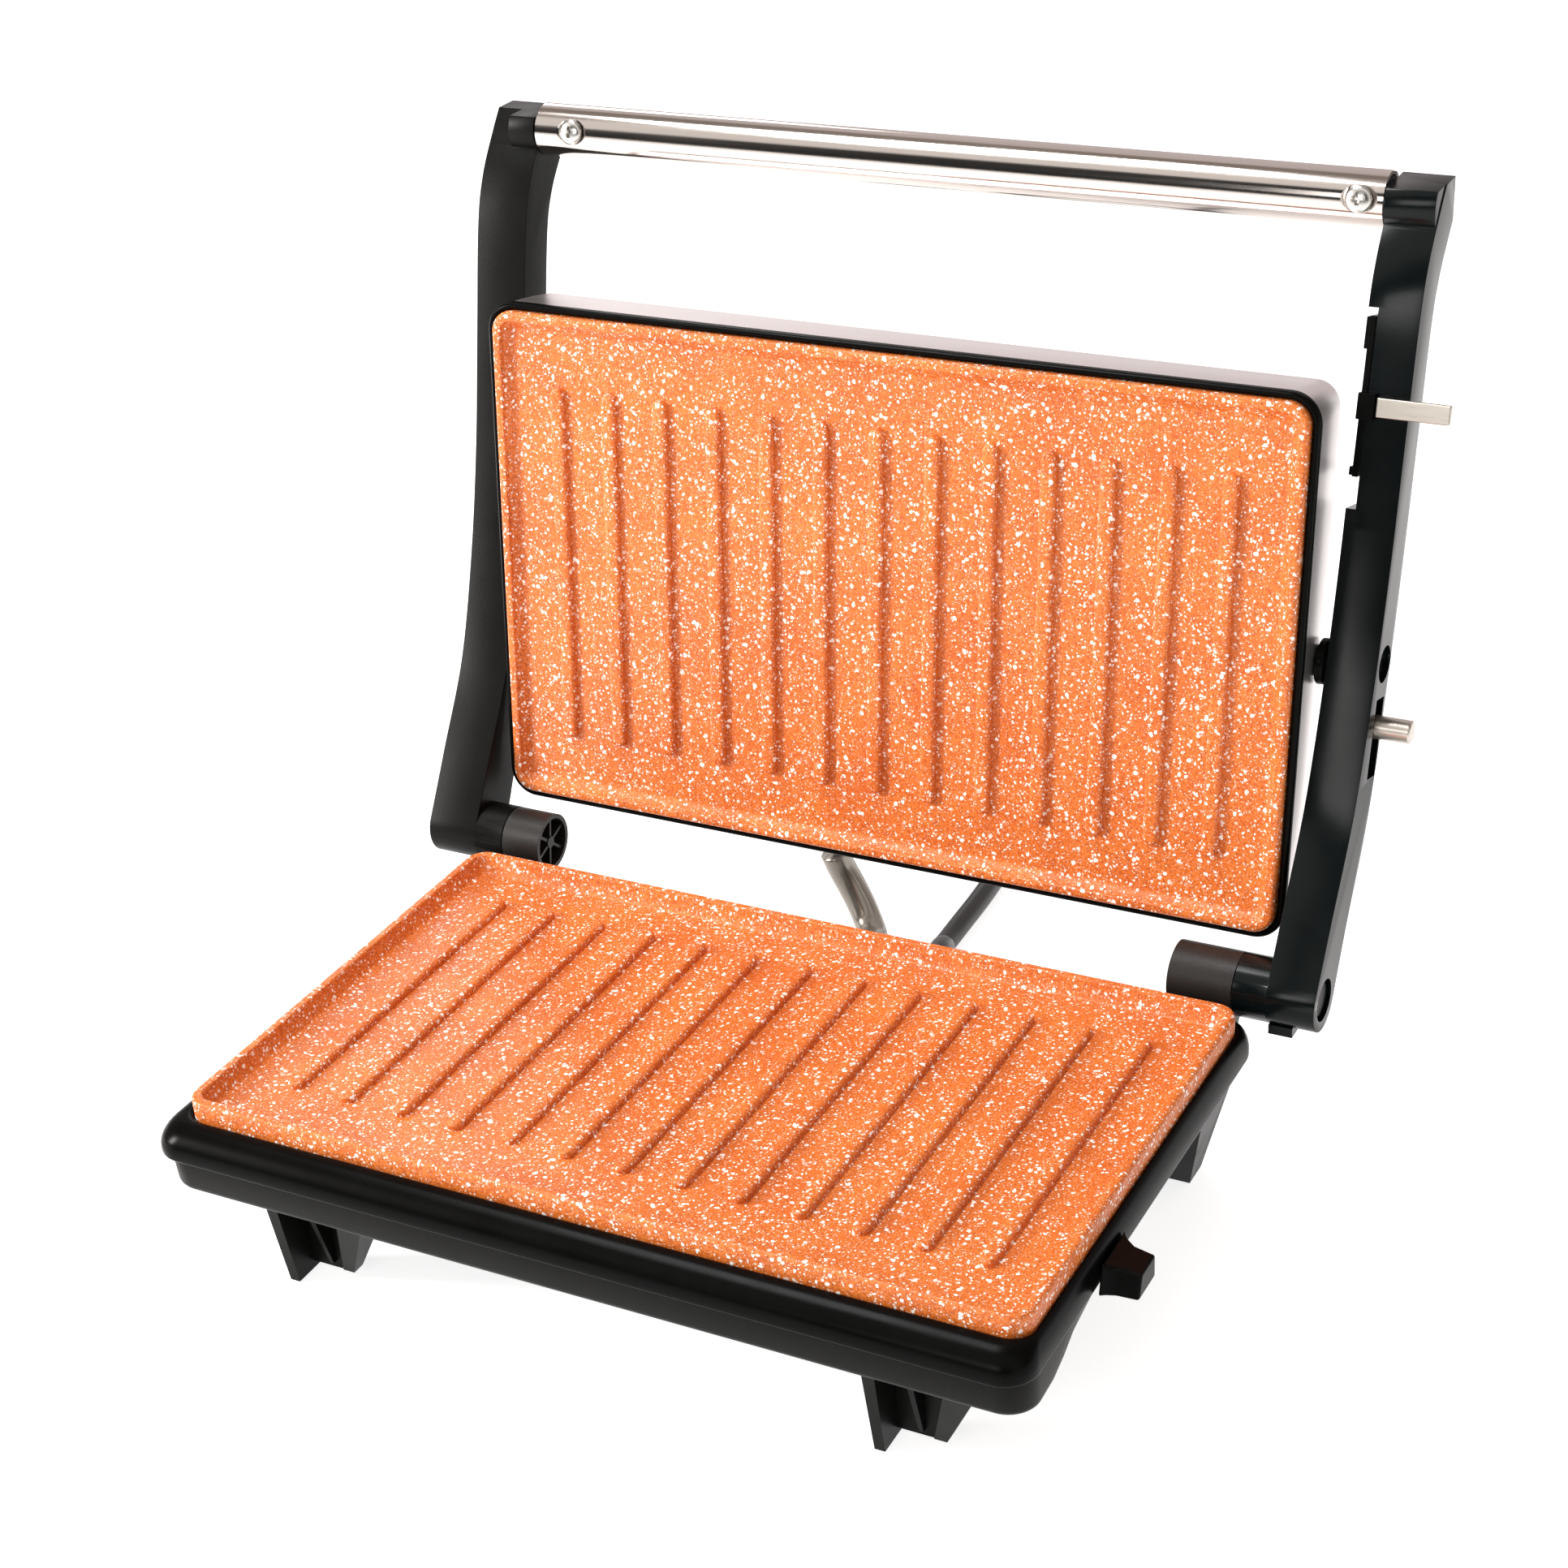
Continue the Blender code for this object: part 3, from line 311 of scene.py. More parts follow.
def rounded_box_loop(left, right, front, back, z, radius, steps=12, side_steps=1):
    loop = []
    corners = ((right, front, -90), (right, back, 0), (left, back, 90), (left, front, 180))
    for x, y, start in corners:
        centre_x = x - math.copysign(radius, x - (left + right) / 2)
        centre_y = y - math.copysign(radius, y - (front + back) / 2)
        for k in range(steps + 1):
            turn = math.radians(start + 90 * k / steps)
            loop.append((centre_x + radius * math.cos(turn), centre_y + radius * math.sin(turn), z))
        if start in (-90, 90):
            run = (back - front - 2 * radius) * (1 if start == -90 else -1)
            loop += [(x, centre_y + run * k / side_steps, z) for k in range(1, side_steps)]
    return loop


def plate_loop(grow, z, middle=0.0, ledges=(0.0, 0.0, 0.0, 0.0), side_steps=1):
    left, right, front, back = (grow + ledge for ledge in ledges)
    half_x, half_y = PLATE_WIDTH / 2, PLATE_DEPTH / 2
    radius = max(PLATE_CORNER + grow + 0.1 * sum(ledges), 1.2)
    return rounded_box_loop(
        -half_x - left, half_x + right, middle - half_y - front, middle + half_y + back, z, radius,
        12, side_steps
    )


def finished(target, body, look, *nodes, sharp=35.0):
    """Gives a piece its material, smooth shading and body, and hides the CAD nodes that it stands for."""
    target.data.materials.clear()
    target.data.materials.append(LOOK[look])
    if target.type == "MESH":
        target.data.polygons.foreach_set("use_smooth", [True] * len(target.data.polygons))
        target.data.set_sharp_from_angle(angle=math.radians(sharp))
    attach(target, body)
    if nodes:
        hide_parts(*nodes)
    return target


# Materials --------------------------------------------------------------------


class Nodes:
    """A material's node tree with short ways to add and link nodes."""

    def __init__(self, name, colour, roughness, metallic=0.0):
        self.material = bpy.data.materials.new(name)
        self.material.use_nodes = True
        self.tree = self.material.node_tree
        self.shader = self.tree.nodes["Principled BSDF"]
        self.shader.inputs["Base Color"].default_value = (*colour, 1)
        self.shader.inputs["Roughness"].default_value = roughness
        self.shader.inputs["Metallic"].default_value = metallic
        self.place = self.tree.nodes.new("ShaderNodeTexCoord").outputs["Object"]

    def link(self, source, target):
        self.tree.links.new(source, target)

    def node(self, kind, **settings):
        made = self.tree.nodes.new(kind)
        for name, value in settings.items():
            setattr(made, name, value)
        return made

    def math(self, operation, first, second):
        made = self.node("ShaderNodeMath", operation=operation)
        for socket, value in zip(made.inputs, (first, second)):
            if isinstance(value, (int, float)):
                socket.default_value = value
            else:
                self.link(value, socket)
        return made.outputs[0]

    def stretched(self, scale):
        mapping = self.node("ShaderNodeMapping")
        mapping.inputs["Scale"].default_value = scale
        self.link(self.place, mapping.inputs["Vector"])
        return mapping.outputs[0]

    def noise(self, scale, detail=3.0, place=None, roughness=0.5):
        made = self.node("ShaderNodeTexNoise")
        made.inputs["Scale"].default_value = scale
        made.inputs["Detail"].default_value = detail
        made.inputs["Roughness"].default_value = roughness
        self.link(place or self.place, made.inputs["Vector"])
        return made

    def cells(self, scale, place):
        made = self.node("ShaderNodeTexVoronoi")
        made.inputs["Scale"].default_value = scale
        self.link(place, made.inputs["Vector"])
        return made

    def ranged(self, value, low, high, to_low, to_high):
        """The value, with low to high stretched to to_low to to_high and held at both ends."""
        made = self.node("ShaderNodeMapRange")
        for name, number in (("From Min", low), ("From Max", high), ("To Min", to_low), ("To Max", to_high)):
            made.inputs[name].default_value = number
        self.link(value, made.inputs["Value"])
        return made.outputs[0]

    def mix(self, share, first, second):
        """A blend of two colours, each a tuple or a socket."""
        made = self.node("ShaderNodeMix", data_type="RGBA")
        self.link(share, made.inputs[0])
        for socket, value in ((made.inputs[6], first), (made.inputs[7], second)):
            if isinstance(value, tuple):
                socket.default_value = (*value, 1)
            else:
                self.link(value, socket)
        return made.outputs[2]

    def rough(self, pattern, low, high):
        """Roughness from low to high as a noise pattern rises through its middle range."""
        self.link(self.ranged(pattern, 0.3, 0.7, low, high), self.shader.inputs["Roughness"])

    def bump(self, height, distance, strength):
        made = self.node("ShaderNodeBump")
        made.inputs["Distance"].default_value = distance
        made.inputs["Strength"].default_value = strength
        self.link(height, made.inputs["Height"])
        self.link(made.outputs[0], self.shader.inputs["Normal"])


def copper_granite():
    """A copper-orange coating strewn with pale flecks of several sizes and a few fine dark ones."""
    made = Nodes("copper_granite", (0.74, 0.22, 0.07), 0.40)
    wobble = made.noise(420, 2.0)
    shaken = made.node("ShaderNodeVectorMath", operation="MULTIPLY_ADD")
    made.link(wobble.outputs["Color"], shaken.inputs[0])
    shaken.inputs[1].default_value = (0.0015, 0.0015, 0.0015)
    made.link(made.place, shaken.inputs[2])
    place = shaken.outputs[0]
    tone = made.ranged(made.noise(55, 4.0).outputs["Fac"], 0.35, 0.65, 0.0, 1.0)
    colour = made.mix(tone, (0.62, 0.130, 0.018), (0.75, 0.190, 0.032))
    grain = made.ranged(made.noise(1500, 3.0, roughness=0.7).outputs["Fac"], 0.42, 0.64, 0.0, 0.5)
    colour = made.mix(grain, colour, (0.80, 0.26, 0.05))
    pits = made.ranged(made.noise(1700, 2.0).outputs["Fac"], 0.50, 0.58, 0.0, 0.6)
    colour = made.mix(pits, colour, (0.40, 0.060, 0.008))
    dark = made.ranged(made.cells(520, place).outputs["Distance"], 0.08, 0.13, 0.8, 0.0)
    colour = made.mix(dark, colour, (0.16, 0.045, 0.020))
    clusters = made.ranged(made.noise(150, 3.0).outputs["Fac"], 0.32, 0.50, 0.45, 1.0)
    flecks = None
    for scale, inner, outer, most in (
        (1300, 0.18, 0.26, 0.6), (720, 0.18, 0.235, 1.0), (430, 0.17, 0.205, 1.0), (280, 0.15, 0.175, 1.0),
    ):
        layer = made.ranged(made.cells(scale, place).outputs["Distance"], inner, outer, most, 0.0)
        layer = made.math("MULTIPLY", layer, clusters)
        colour = made.mix(layer, colour, (1.0, 0.96, 0.90))
        flecks = layer if flecks is None else made.math("MAXIMUM", flecks, layer)
    made.link(colour, made.shader.inputs["Base Color"])
    made.rough(made.noise(700, 2.0).outputs["Fac"], 0.34, 0.46)
    height = made.math("ADD", made.noise(900, 3.0).outputs["Fac"], made.math("MULTIPLY", flecks, 0.35))
    made.bump(height, 0.00018, 0.7)
    made.shader.inputs["Specular IOR Level"].default_value = 0.35
    made.shader.inputs["Coat Weight"].default_value = 0.05
    made.shader.inputs["Coat Roughness"].default_value = 0.28
    return made.material


def moulded(name, colour, low, high, grain_scale, grain, strength=0.6, specular=0.5):
    """Moulded plastic: an even colour, roughness that drifts a little, and a fine grain."""
    made = Nodes(name, colour, (low + high) / 2)
    made.shader.inputs["Specular IOR Level"].default_value = specular
    made.rough(made.noise(60, 4.0).outputs["Fac"], low, high)
    brighter = tuple(min(1.0, part * 1.4 + 0.0006) for part in colour)
    blotches = made.noise(260, 3.0).outputs["Fac"]
    made.link(made.mix(blotches, colour, brighter), made.shader.inputs["Base Color"])
    made.bump(made.noise(grain_scale, 3.0).outputs["Fac"], grain, strength)
    return made.material


def brushed(name, colour, low, high, stretch, depth):
    """Steel with fine brush lines: stretch is the mapping's scale, small along the lines."""
    made = Nodes(name, colour, (low + high) / 2, 1.0)
    lines = made.noise(1.0, 5.0, made.stretched(stretch), 0.65).outputs["Fac"]
    made.rough(lines, low, high)
    darker = tuple(part * 0.86 for part in colour)
    made.link(made.mix(lines, darker, colour), made.shader.inputs["Base Color"])
    made.bump(lines, depth, 0.5)
    return made.material


def lens(name, colour):
    """A lamp's clear coloured plastic, with a glossy coat."""
    made = Nodes(name, colour, 0.12)
    made.shader.inputs["Coat Weight"].default_value = 0.6
    made.rough(made.noise(500, 2.0).outputs["Fac"], 0.08, 0.16)
    return made.material


def sleeve():
    """The lead's metal-look sleeve, smooth with a satin sheen."""
    made = Nodes("sleeve_metal", (0.30, 0.27, 0.23), 0.26, 0.7)
    grain = made.noise(90, 2.0).outputs["Fac"]
    made.link(made.mix(grain, (0.25, 0.225, 0.19), (0.34, 0.31, 0.27)), made.shader.inputs["Base Color"])
    made.rough(grain, 0.20, 0.28)
    made.bump(made.noise(700, 2.0).outputs["Fac"], 0.000003, 0.3)
    return made.material


def materials():
    """One material for each finish, under the names that the pieces ask for."""
    return {
        "copper": copper_granite(),
        "gloss": moulded("black_gloss", (0.0015, 0.0015, 0.0014), 0.22, 0.30, 1400, 0.00002, 0.3, 0.05),
        "arm": moulded("arm_gloss", (0.0018, 0.0030, 0.0032), 0.16, 0.22, 1400, 0.00002, 0.3, 0.18),
        "satin": moulded("black_satin", (0.0022, 0.0022, 0.0019), 0.34, 0.44, 2400, 0.00006, 0.6, 0.10),
        "barrel": moulded("barrel_satin", (0.012, 0.0105, 0.0095), 0.36, 0.48, 2600, 0.00008, 0.6, 0.28),
        "cover": brushed("cover_steel", (0.90, 0.84, 0.835), 0.30, 0.33, (30, 900, 900), 0.000001),
        "tube": brushed("tube_steel", (0.66, 0.60, 0.56), 0.10, 0.13, (20, 700, 700), 0.000002),
        "screw": brushed("screw_steel", (0.68, 0.66, 0.63), 0.18, 0.30, (900, 900, 900), 0.00003),
        "tab": brushed("tab_steel", (0.62, 0.57, 0.51), 0.26, 0.38, (120, 1800, 1800), 0.00003),
        "rubber": moulded("cord_rubber", (0.010, 0.010, 0.010), 0.34, 0.46, 1800, 0.00006),
        "sleeve": sleeve(),
        "sheet": brushed("sheet_metal", (0.70, 0.70, 0.70), 0.30, 0.42, (120, 900, 900), 0.00004),
        "ceramic": moulded("ceramic", (0.80, 0.78, 0.73), 0.45, 0.6, 900, 0.00006),
        "terminal": moulded("terminal", (0.20, 0.11, 0.06), 0.4, 0.55, 900, 0.00005),
        "red": lens("red_lens", (0.70, 0.03, 0.02)),
        "green": lens("green_lens", (0.05, 0.55, 0.10)),
        "nickel": brushed("nickel", (0.78, 0.75, 0.70), 0.16, 0.26, (900, 900, 900), 0.00002),
    }


LOOK = materials()


# Pieces of the base and the lid -----------------------------------------------


def cooking_plate(name, middle, rim, deep, lip, recess, upwards, place):
    """A cast plate: a round-edged rim, a groove inside it, a flat floor and ribs with round ends."""
    way = 1 if upwards else -1

    def level(below):
        return rim - way * below

    edge = 1.1
    section = [(-2.8, deep), (-2.8, lip), (0.0, lip - 0.2), (0.0, edge)]
    for degrees in (20, 40, 60, 80, 90):
        turn = math.radians(degrees)
        section.append((edge * math.cos(turn) - edge, edge - edge * math.sin(turn)))
    section += [(-2.3, 0.0), (-2.6, 0.12), (-2.75, 0.45), (-2.9, 1.0)]
    section += [(-4.3, recess - 0.75), (-4.6, recess - 0.32), (-5.1, recess - 0.06), (-5.8, recess)]
    plate = loft(name, [plate_loop(grow, level(below), middle) for grow, below in section], place)
    rib_middle, half_length = middle + rib_offset(upwards), RIB_LENGTH / 2
    profile = ((0.0, -0.6), (0.0, 0.9), (0.1, 1.3), (0.35, 1.62), (0.75, 1.83), (1.4, 1.9))
    for k in range(RIB_COUNT):
        x = (k - (RIB_COUNT - 1) / 2) * RIB_PITCH
        loops = []
        for shrink, height in profile:
            half = RIB_WIDTH / 2 - shrink
            loops.append(
                rounded_box_loop(
                    x - half, x + half, rib_middle - half_length + shrink, rib_middle + half_length - shrink,
                    level(recess - height), half - 0.01, 8
                )
            )
        join(plate, loft("rib", loops, place))
    return bevel(plate, 0.35, 2, 40.0)


def rib_offset(upwards):
    """How far behind the plate's middle its ribs are centred."""
    return 1.0 if upwards else 0.6


def lathe_screw(name, head_top, direction, head_radius, head_depth, shank_radius, length):
    """A pan-head screw with a cross recess. Its head_top faces against direction."""
    dome = [
        (head_depth * (1 - math.cos(math.radians(a))) * 0.62, head_radius * math.sin(math.radians(a)))
        for a in (4, 20, 36, 52, 66, 78, 90)
    ]
    profile = dome + [(head_depth, head_radius), (head_depth, shank_radius), (length, shank_radius)]
    screw = lathe(name, profile, head_top, direction, 48)
    turned = Vector(direction).normalized().to_track_quat("Z", "X").to_matrix().to_4x4()
    for turn in (0, 90):
        slot = loft(
            "slot",
            [
                [(x, y, z) for x, y in ((-w, -r), (w, -r), (w, r), (-w, r))]
                for w, r, z in ((0.75, head_radius * 0.62, -1), (0.35, head_radius * 0.30, 0.75 * head_depth))
            ],
            Matrix.Identity(4),
        )
        where = STANDING @ Matrix.Translation(Vector(head_top)) @ turned
        slot.data.transform(where @ Matrix.Rotation(math.radians(turn), 4, "Z"))
        cut(screw, slot)
    return bevel(screw, 0.12, 2)


# Base -------------------------------------------------------------------------


def ledge_loop(out, z, inset=0.0, side_steps=1):
    ledges = [out * ledge for ledge in (LEFT_LEDGE, RIGHT_LEDGE, FRONT_LEDGE, REAR_LEDGE)]
    return plate_loop(0.4 - inset, z, LOWER_PLATE_Y, ledges, side_steps)


def base_frame():
    """The glossy frame round the plate, with a thin lip over the tray."""
    under_plate = RIM_Z - LOWER_PLATE_DEEP - GAP
    top = FRAME_TOP_Z
    outer = smooth_line(
        (
            (0.0, top - 0.4), (0.12, top), (0.38, top - 0.3), (0.66, top - 1.5), (0.88, top - 3.4),
            (0.98, top - 5.2), (1.0, PARTING_Z + 2.4),
        ), 4
    )
    lip = [
        (1.0 - 0.14 * (1 - math.cos(math.radians(a))), PARTING_Z + 1.3 - 1.0 * math.sin(math.radians(a)))
        for a in (0, 22, 45, 68, 90)
    ]
    section = [ledge_loop(0.0, under_plate, 6.0), ledge_loop(0.0, under_plate)]
    section += [ledge_loop(out, z) for out, z in outer + lip]
    section += [ledge_loop(0.4, PARTING_Z + GAP), ledge_loop(0.4, under_plate - 2.2)]
    section.append(ledge_loop(0.0, under_plate - 1.8, 6.0))
    return loft("base_frame_fine", section, ring=True)


def screw_places():
    return [(x, LOWER_PLATE_Y + y) for x in (-101.0, 101.0) for y in (-44.0, 36.0)]


def wall_piece(low, high, low_z, high_z):
    """A tapered block between two rectangles, each of low x, high x, low y and high y."""
    loops = []
    for (x0, x1, y0, y1), z in ((low, low_z), (high, high_z)):
        loops.append([(x0, y0, z), (x1, y0, z), (x1, y1, z), (x0, y1, z)])
    return loft("wall", loops)


def front_foot(x):
    """A hollow moulded foot that is open to the front: a fin, a back wall, a thin rib and a gusset."""
    back, top = -56.5, TRAY_BOTTOM_Z + 1.0

    def placed(x0, x1, y0, y1):
        return x + x0, x + x1, back - y1, back - y0

    return (
        wall_piece(placed(-14.6, -11.8, 0, 10.2), placed(-15, -11.6, -1, 15), 0, top),
        wall_piece(placed(-14, 1.0, 0, 3.2), placed(-14, 14.0, -1, 3.2), 2.0, top),
        wall_piece(placed(-5.6, -4.4, 2, 4.5), placed(-6.0, -4.2, 1, 12), 4.0, top),
        wall_piece(placed(-2.0, 1.4, 0.2, 4), placed(6.5, 15.0, -1, 14), 2.4, top),
    )


def rear_foot(side):
    """A plain tapered foot at the back."""
    low = sorted((side * 92.0, side * 104.6)) + [61.0, 69.6]
    high = sorted((side * 82.0, side * 114.6)) + [44.0, 71.0]
    return wall_piece(low, high, 0, PARTING_Z - 1.0)


def tray_loop(out, z, inset=0.0):
    """The tray's outline. Its sides run in towards the back, the more so the lower they are."""
    share = TRAY_TUCK * (PARTING_Z - z) / (PARTING_Z - TRAY_BOTTOM_Z)
    loop = []
    for x, y, z in ledge_loop(out, z, inset, side_steps=16):
        along = min(max((y + 66.0) / 50.0, 0.0), 1.0)
        loop.append((x - math.copysign(share * eased(along), x), y, z))
    return loop


def base_tray():
    """The lower shell, with its cavity, feet, screw holes and the openings for both leads."""
    profile = (
        (0.18, 0.0), (0.38, 0.08), (0.52, 0.32), (0.62, 0.75), (0.67, 1.35), (0.70, 2.2), (0.74, 9.4),
        (0.72, 10.0),
    )
    outside = [tray_loop(out, TRAY_BOTTOM_Z + up) for out, up in profile]
    inner_floor = TRAY_BOTTOM_Z + TRAY_FLOOR
    inside = [
        tray_loop(0.0, inner_floor, 1.8), tray_loop(0.0, inner_floor + 1.0, 0.8),
        tray_loop(0.3, PARTING_Z - 1.0, 0.4), tray_loop(0.3, PARTING_Z + 1.0, 0.4),
    ]
    tray = loft("base_tray_fine", outside)
    for x in (-79.0, 88.5):
        join(tray, *front_foot(x))
    for side in (-1, 1):
        join(tray, rear_foot(side))
    cut(tray, loft("cavity", inside))
    for x, y in screw_places():
        cut(tray, rod("hole", (x, y, TRAY_BOTTOM_Z - 1), (x, y, PARTING_Z), 1.9, 24))
    for x, half in ((CORD_ROUTE[0][0], 4.4), (LINK_ROUTE[0][0], 4.8)):
        low = (x - half, LEAD_WALL_Y, TRAY_BOTTOM_Z + 0.2)
        cut(tray, box("opening", low, (x + half, REAR_WALL_Y + 8, PARTING_Z + 1)))
    return bevel(tray, 0.7, 3, 38.0)


def lid_catch():
    """The moulded block on the right of the base that the latch holds. Its root is flared."""
    root_x = PLATE_WIDTH / 2 + 0.4 + RIGHT_LEDGE + GAP
    loops = []
    for x, front, back, low, high in (
        (root_x, -35.4, -20.2, 37.0, 44.9),
        (root_x + 0.6, -35.1, -21.4, 37.3, 44.7),
        (root_x + 1.6, -34.8, -22.8, 37.5, 44.6),
        (root_x + 4.0, -34.4, -24.6, 37.8, 44.4),
        (root_x + 9.6, -34.3, -25.8, 38.0, 44.2),
    ):
        loops.append([(x, front - 2.0, low), (x, back, low), (x, back, high), (x, front, high)])
    return bevel(loft("lid_catch_fine", loops), 0.9, 4, 40.0)


def hinge_knuckle(name, side, inner_end):
    """A hollow barrel behind the base, open at its inner end with six spokes, on a foot of its own."""
    y, z = HINGE
    outer_end, radius, wall = KNUCKLE_END, HUB_RADIUS - 0.1, 1.3

    def at(x):
        return side * x, y, z

    barrel = rod(name, at(inner_end), at(outer_end), radius, 96)
    deep = inner_end + 6.0
    cut(barrel, rod("hollow", at(inner_end - 1), at(deep), radius - wall, 96))
    low, high = sorted((side * (inner_end + 0.8), side * (deep + 1)))
    for turn in (20, 80, 140):
        spoke = box("spoke", (low, 0.6 - radius, -0.4), (high, radius - 0.6, 0.4), Matrix.Scale(MM, 4))
        spoke.data.transform(Matrix.Rotation(math.radians(turn), 4, "X"))
        spoke.data.transform(Matrix.Translation(SHIFT + Vector((0, y, z)) * MM))
        join(barrel, spoke)
    boss = rod("boss", at(inner_end + 0.6), at(deep + 1), 1.7, 32)
    join(barrel, boss)
    low, high = sorted((side * (deep - 0.5), side * (outer_end - 0.5)))
    rear = REAR_WALL_Y + 0.4 + REAR_LEDGE + GAP
    foot = [(rear, 32.0), (rear + 3.0, 32.0), (y + 6.8, z - 4.0), (y, z + 2.0), (rear, z - 3.0)]
    join(barrel, slab("foot", foot, low, high))
    return bevel(barrel, 0.35, 3, 40.0)


# Lid --------------------------------------------------------------------------


def arm_outline():
    """Both edges of the arm, offset from its middle line, with a round end at the hinge."""
    line = smooth_line(ARM_LINE, 10)
    front, back = [], []
    for k, (y, z, half) in enumerate(line):
        before = line[max(k - 1, 0)]
        after = line[min(k + 1, len(line) - 1)]
        along = Vector((after[0] - before[0], after[1] - before[1])).normalized()
        front.append((y - along.y * half, z + along.x * half))
        back.append((y + along.y * half, z - along.x * half))
    start = math.atan2(front[0][1] - HINGE[1], front[0][0] - HINGE[0])
    hub = [
        (HINGE[0] + HUB_RADIUS * math.cos(start + math.pi * k / 28),
         HINGE[1] + HUB_RADIUS * math.sin(start + math.pi * k / 28))
        for k in range(1, 28)
    ]
    return front[::-1] + hub + back


def along_arm(distance):
    return Vector(LATCH_PIN) + distance * ARM_DIRECTION


def arm_block(name, low, high, forward_low, forward_high, x_low, x_high):
    """A block set along the arm from low to high, with its distances measured from the latch pin."""
    corners = [
        along_arm(a) + f * ARM_FORWARD
        for a, f in ((low, forward_low), (low, forward_high), (high, forward_high), (high, forward_low))
    ]
    return slab(name, [tuple(corner) for corner in corners], x_low, x_high)


def lid_arm(name, side):
    """One curved arm with its hub, the handle's socket, and the recesses in its outer face."""
    outer = side * ARM_OUTER[side]
    low, high = sorted((side * ARM_INNER, outer))
    arm = slab(name, arm_outline(), low, high)
    socket_end = SOCKET_END[side] - GAP
    join(arm, rod("socket", (side * ARM_INNER, *HANDLE), (side * socket_end, *HANDLE), SOCKET_RADIUS))
    cut(
        arm,
        box("above", (low - 1, 120, ARM_TOP_Z), (high + 1, 200, 280)),
        box("behind", (low - 1, ARM_REAR_Y, 210), (high + 1, 200, 270)),
    )
    take_result(bevel(arm, 1.5, 5))
    hub_start = (side * (KNUCKLE_END + GAP), *HINGE)
    join(arm, rod("hub", hub_start, (side * (ARM_INNER + 2), *HINGE), HUB_RADIUS - 0.02, 96))
    dimple = (ARM_DIMPLE_Y, PIVOT[1])
    cut(
        arm,
        rod("dimple", (outer - side * 1.6, *dimple), (outer + side, *dimple), 4.8),
        rod("hinge_recess", (outer - side * 3, *HINGE), (outer + side, *HINGE), 5.7),
    )
    return arm


def right_arm():
    """The arm with the latch: its pin slot outside and the channel for the strip inside."""
    arm = lid_arm("right_arm_fine", 1)
    pin_room = 3.0 + GAP
    slot = arm_block("slot", *LATCH_SLOT, -pin_room, pin_room, 128.6, 136)
    channel = arm_block("channel", *CHANNEL_ENDS, -8.0, 9.0, 117, 121.8)
    cut(arm, slot, channel)
    stop = box("stop", (119.8, HINGE[0] - 6.5, 41.9), (126.2, HINGE[0] - 1.5, 44.6))
    return join(arm, stop)


def handle_tube():
    """The steel tube, with a pressed dimple round each screw."""
    end = ARM_INNER - GAP
    tube = rod("handle_tube_fine", (-end, *HANDLE), (end, *HANDLE), HANDLE_RADIUS, 128)
    cut(tube, rod("bore", (-end - 1, *HANDLE), (end + 1, *HANDLE), HANDLE_RADIUS - 1.0, 64))
    for side, _, screw_x in HANDLE_SCREWS:
        spot = Vector((side * screw_x, *HANDLE))
        bottom = spot + FORWARD * (HANDLE_RADIUS - 0.75)
        profile = ((0.0, 3.5), (0.35, 3.9), (0.75, 4.6), (3.0, 9.5))
        cut(tube, lathe("dimple", profile, bottom, FORWARD, 64))
    return bevel(tube, 0.3, 3, 25.0)


def handle_screws():
    made = []
    for side, word, screw_x in HANDLE_SCREWS:
        head = Vector((side * screw_x, *HANDLE)) + FORWARD * (HANDLE_RADIUS + 1.5)
        made.append(lathe_screw(f"handle_screw_{word}_fine", head, -FORWARD, 3.3, 1.9, 1.4, 8.0))
    return made


def latch():
    """The toothed strip inside the arm, the steel tab that it carries and the pin in the outer slot."""
    front = TAB_FORWARD - 0.9
    strip = arm_block("latch_strip_fine", *STRIP_ENDS, -3.6, front, 119.9, 121.4)
    top = STRIP_ENDS[1]
    for low, high in ((top - 8.0, top - 0.3), (STRIP_ENDS[0] + 0.3, STRIP_ENDS[0] + 2.4)):
        join(strip, arm_block("tooth", low, high, -3.0, front - 0.3, 119.0, 120.4))
    low, high = TAB_ENDS
    ends = (low - 0.8, high + 0.8)
    join(
        strip,
        arm_block("neck", *ends, front - 1.0, TAB_FORWARD + 1.9, 119.9, 121.4),
        arm_block("holder", *ends, TAB_FORWARD - 0.2, TAB_FORWARD + 1.9, 120.6, 124.2),
    )
    tab = arm_block("latch_tab_fine", low, high, TAB_FORWARD, TAB_FORWARD + 1.5, 124.2 + GAP, 143.0)
    middle = along_arm(0)
    pin = rod("latch_pin_fine", (129.0, *middle), (141.4, *middle), 3.0)
    return bevel(strip, 0.3), bevel(tab, 0.45, 4), bevel(pin, 0.6, 4)


# Cover, drawn as it lies with the lid shut, from the pivot's axis -------------


